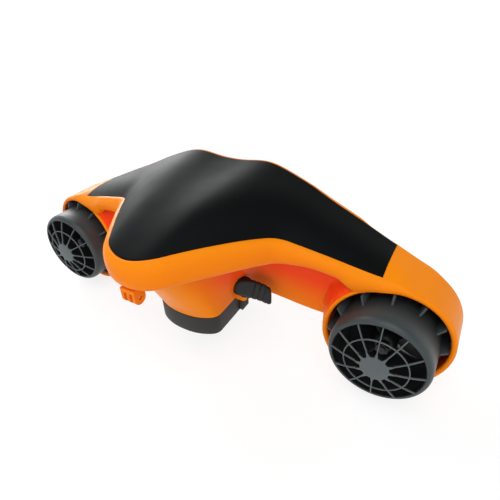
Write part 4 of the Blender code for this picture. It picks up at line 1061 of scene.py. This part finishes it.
# Inner pieces: the CAD solids that stay as they are, each with the finish of what it is made of. They are
# the motors, the battery's cells and case, the electronics, the seals and the small hardware.
steel, shader, wire = new_finish("brushed_steel", Metallic=1.0)
streak = noise(wire, 60, 3, (1, 30, 1))
feed(blended(wire, streak, (0.50, 0.50, 0.51, 1), (0.68, 0.68, 0.69, 1)), shader, "Base Color")
feed(0.24 + 0.2 * streak, shader, "Roughness")

copper, shader, wire = new_finish("copper_windings", Metallic=1.0)
place = wire.node("TexCoord", output="Object")
turns = wire.node("TexWave", {"Vector": place, "Scale": 320, "Distortion": 1.5}, "Fac")
feed(blended(wire, turns, (0.45, 0.20, 0.08, 1), (0.78, 0.42, 0.20, 1)), shader, "Base Color")
feed(0.3 + 0.2 * turns, shader, "Roughness")

rubber, shader, wire = new_finish("seal_rubber", IOR=1.5, Specular_IOR_Level=0.35)
cloud = noise(wire, 80, 3)
feed(blended(wire, cloud, (0.012, 0.012, 0.012, 1), (0.022, 0.022, 0.022, 1)), shader, "Base Color")
feed(0.66 + 0.18 * noise(wire, 500, 2), shader, "Roughness")

circuit, shader, wire = new_finish("circuit_board", IOR=1.5)
place = wire.node("TexCoord", output="Object")
cells = wire.node("TexVoronoi", {"Vector": place, "Scale": 260}, distance="MANHATTAN")
feed(blended(wire, cells, (0.012, 0.09, 0.035, 1), (0.035, 0.2, 0.08, 1)), shader, "Base Color")
feed(0.3 + 0.3 * cells, shader, "Roughness")

wrap, shader, wire = new_finish("cell_wrap", IOR=1.5)
sheen = noise(wire, 40, 3)
feed(blended(wire, sheen, (0.03, 0.12, 0.36, 1), (0.06, 0.2, 0.5, 1)), shader, "Base Color")
feed(0.3 + 0.2 * sheen, shader, "Roughness")

stays = {"battery_case": nylon, "battery_cells": wrap, "battery_contacts": copper, "control_board": circuit,
         "contact_block": pad, "front_hull_seal": rubber, "rear_hull_seal": rubber}
for _, name in both_sides:
    for piece in ("inner_screw", "outer_screw", "front_bearing", "rear_bearing", "rotor", "trigger_magnet"):
        stays[f"{name}_{piece}"] = steel
    for piece in ("motor_shaft", "propeller_nut"):
        stays[f"{name}_{piece}"] = oiled
    for piece in ("cable_gland", "motor_cable", "shaft_seal"):
        stays[f"{name}_{piece}"] = rubber
    for piece in ("motor_can", "motor_mount", "motor_driver"):
        stays[f"{name}_{piece}"] = black
    stays[f"{name}_stator"] = copper
for name, material in stays.items():
    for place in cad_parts[name].material_slots:
        place.material = material

# Studio: a wide floor that the camera and reflections see as white with a faint shadow, and a sky that is
# white round the horizon and dark overhead. A key light hangs above the camera, with a fill at the upper
# left, a lamp at the back left for the deck's sheen and a faint low fill in front, all placed in metres.
floor_radius = 40000
floor_gap = 0.5
sky_fall = 0.38, 0.72
sky_dark = 0.93

pale, shader, wire = new_finish("pale_floor")
pale.node_tree.nodes.remove(shader)
matt = wire.node("BsdfDiffuse", {"Color": (0.85, 0.85, 0.85, 1)})
faint = wire.node("BsdfDiffuse", {"Color": (0.24, 0.24, 0.24, 1)})
away = wire.node("VectorMath", {0: wire.node("TexCoord", output="Object")}, "Value", operation="LENGTH")
far = wire.node("MapRange", {"Value": away, "From Min": 0.4, "From Max": 2}, interpolation_type="SMOOTHSTEP")
glow = wire.node("Emission", {"Color": (1, 1, 1, 1), "Strength": 0.8 + 0.2 * far})
seen = wire.node("AddShader", {0: faint, 1: glow})
camera_ray = wire.node("LightPath", output="Is Camera Ray")
glossy_ray = wire.node("LightPath", output="Is Glossy Ray")
through_ray = wire.node("LightPath", output="Is Transmission Ray")
any_ray = wire.math("MAXIMUM", wire.math("MAXIMUM", camera_ray, glossy_ray), through_ray)
shown = wire.node("MixShader", {0: any_ray, 1: matt, 2: seen})
feed(shown, pale.node_tree.nodes["Material Output"], "Surface")
bm = bmesh.new()
bmesh.ops.create_circle(bm, cap_ends=True, segments=96, radius=floor_radius)
bmesh.ops.translate(bm, verts=bm.verts, vec=(0, 0, -floor_gap))
floor = put("floor", bm, pale)

sky = bpy.data.worlds.new("studio")
sky.use_nodes = True
bpy.context.scene.world = sky
wire = Wire(sky.node_tree)
backdrop = sky.node_tree.nodes["Background"]
backdrop.inputs["Color"].default_value = (1, 1, 1, 1)
height = wire.node("SeparateXYZ", {0: wire.node("TexCoord", output="Generated")}, "Z")
overhead = wire.node("MapRange", {"Value": height, "From Min": sky_fall[0], "From Max": sky_fall[1]},
                     interpolation_type="SMOOTHSTEP")
feed(1 - sky_dark * overhead, backdrop, "Strength")


def lamp(name, place, aim, size, watts):
    """A soft square light that looks at a point."""
    data = bpy.data.lights.new(name, "AREA")
    data.size = size
    data.energy = watts
    made = bpy.data.objects.new(name, data)
    made.location = place
    made.rotation_euler = (Vector(aim) - Vector(place)).to_track_quat("-Z", "Y").to_euler()
    bpy.context.scene.collection.objects.link(made)


lamp("key", place=(0.4, -0.75, 1.85), aim=(0, 0, 0.1), size=1.7, watts=25)
lamp("left_fill", place=(-1.2, 0.4, 1.4), aim=(0, 0, 0.1), size=1, watts=10)
lamp("back_left", place=(-1.5, 1.2, 0.6), aim=(0, 0, 0.15), size=1.1, watts=22)
lamp("low_fill", place=(0.7, -1.6, 0.2), aim=(0.05, 0, 0.1), size=1.1, watts=2.5)

# The camera was fitted to the round grilles in the photo.
lens = bpy.data.cameras.new("photo_view")
lens.sensor_width = 36
lens.lens = 29.187
lens.clip_start = 0.01
camera = bpy.data.objects.new("photo_view", lens)
camera.location = 0.22083, -0.2554, 0.32881
camera.rotation_euler = [math.radians(angle) for angle in (56.28674, 2.02976, 29.78195)]
bpy.context.scene.collection.objects.link(camera)
bpy.context.scene.camera = camera
bpy.context.scene.view_settings.view_transform = "Standard"
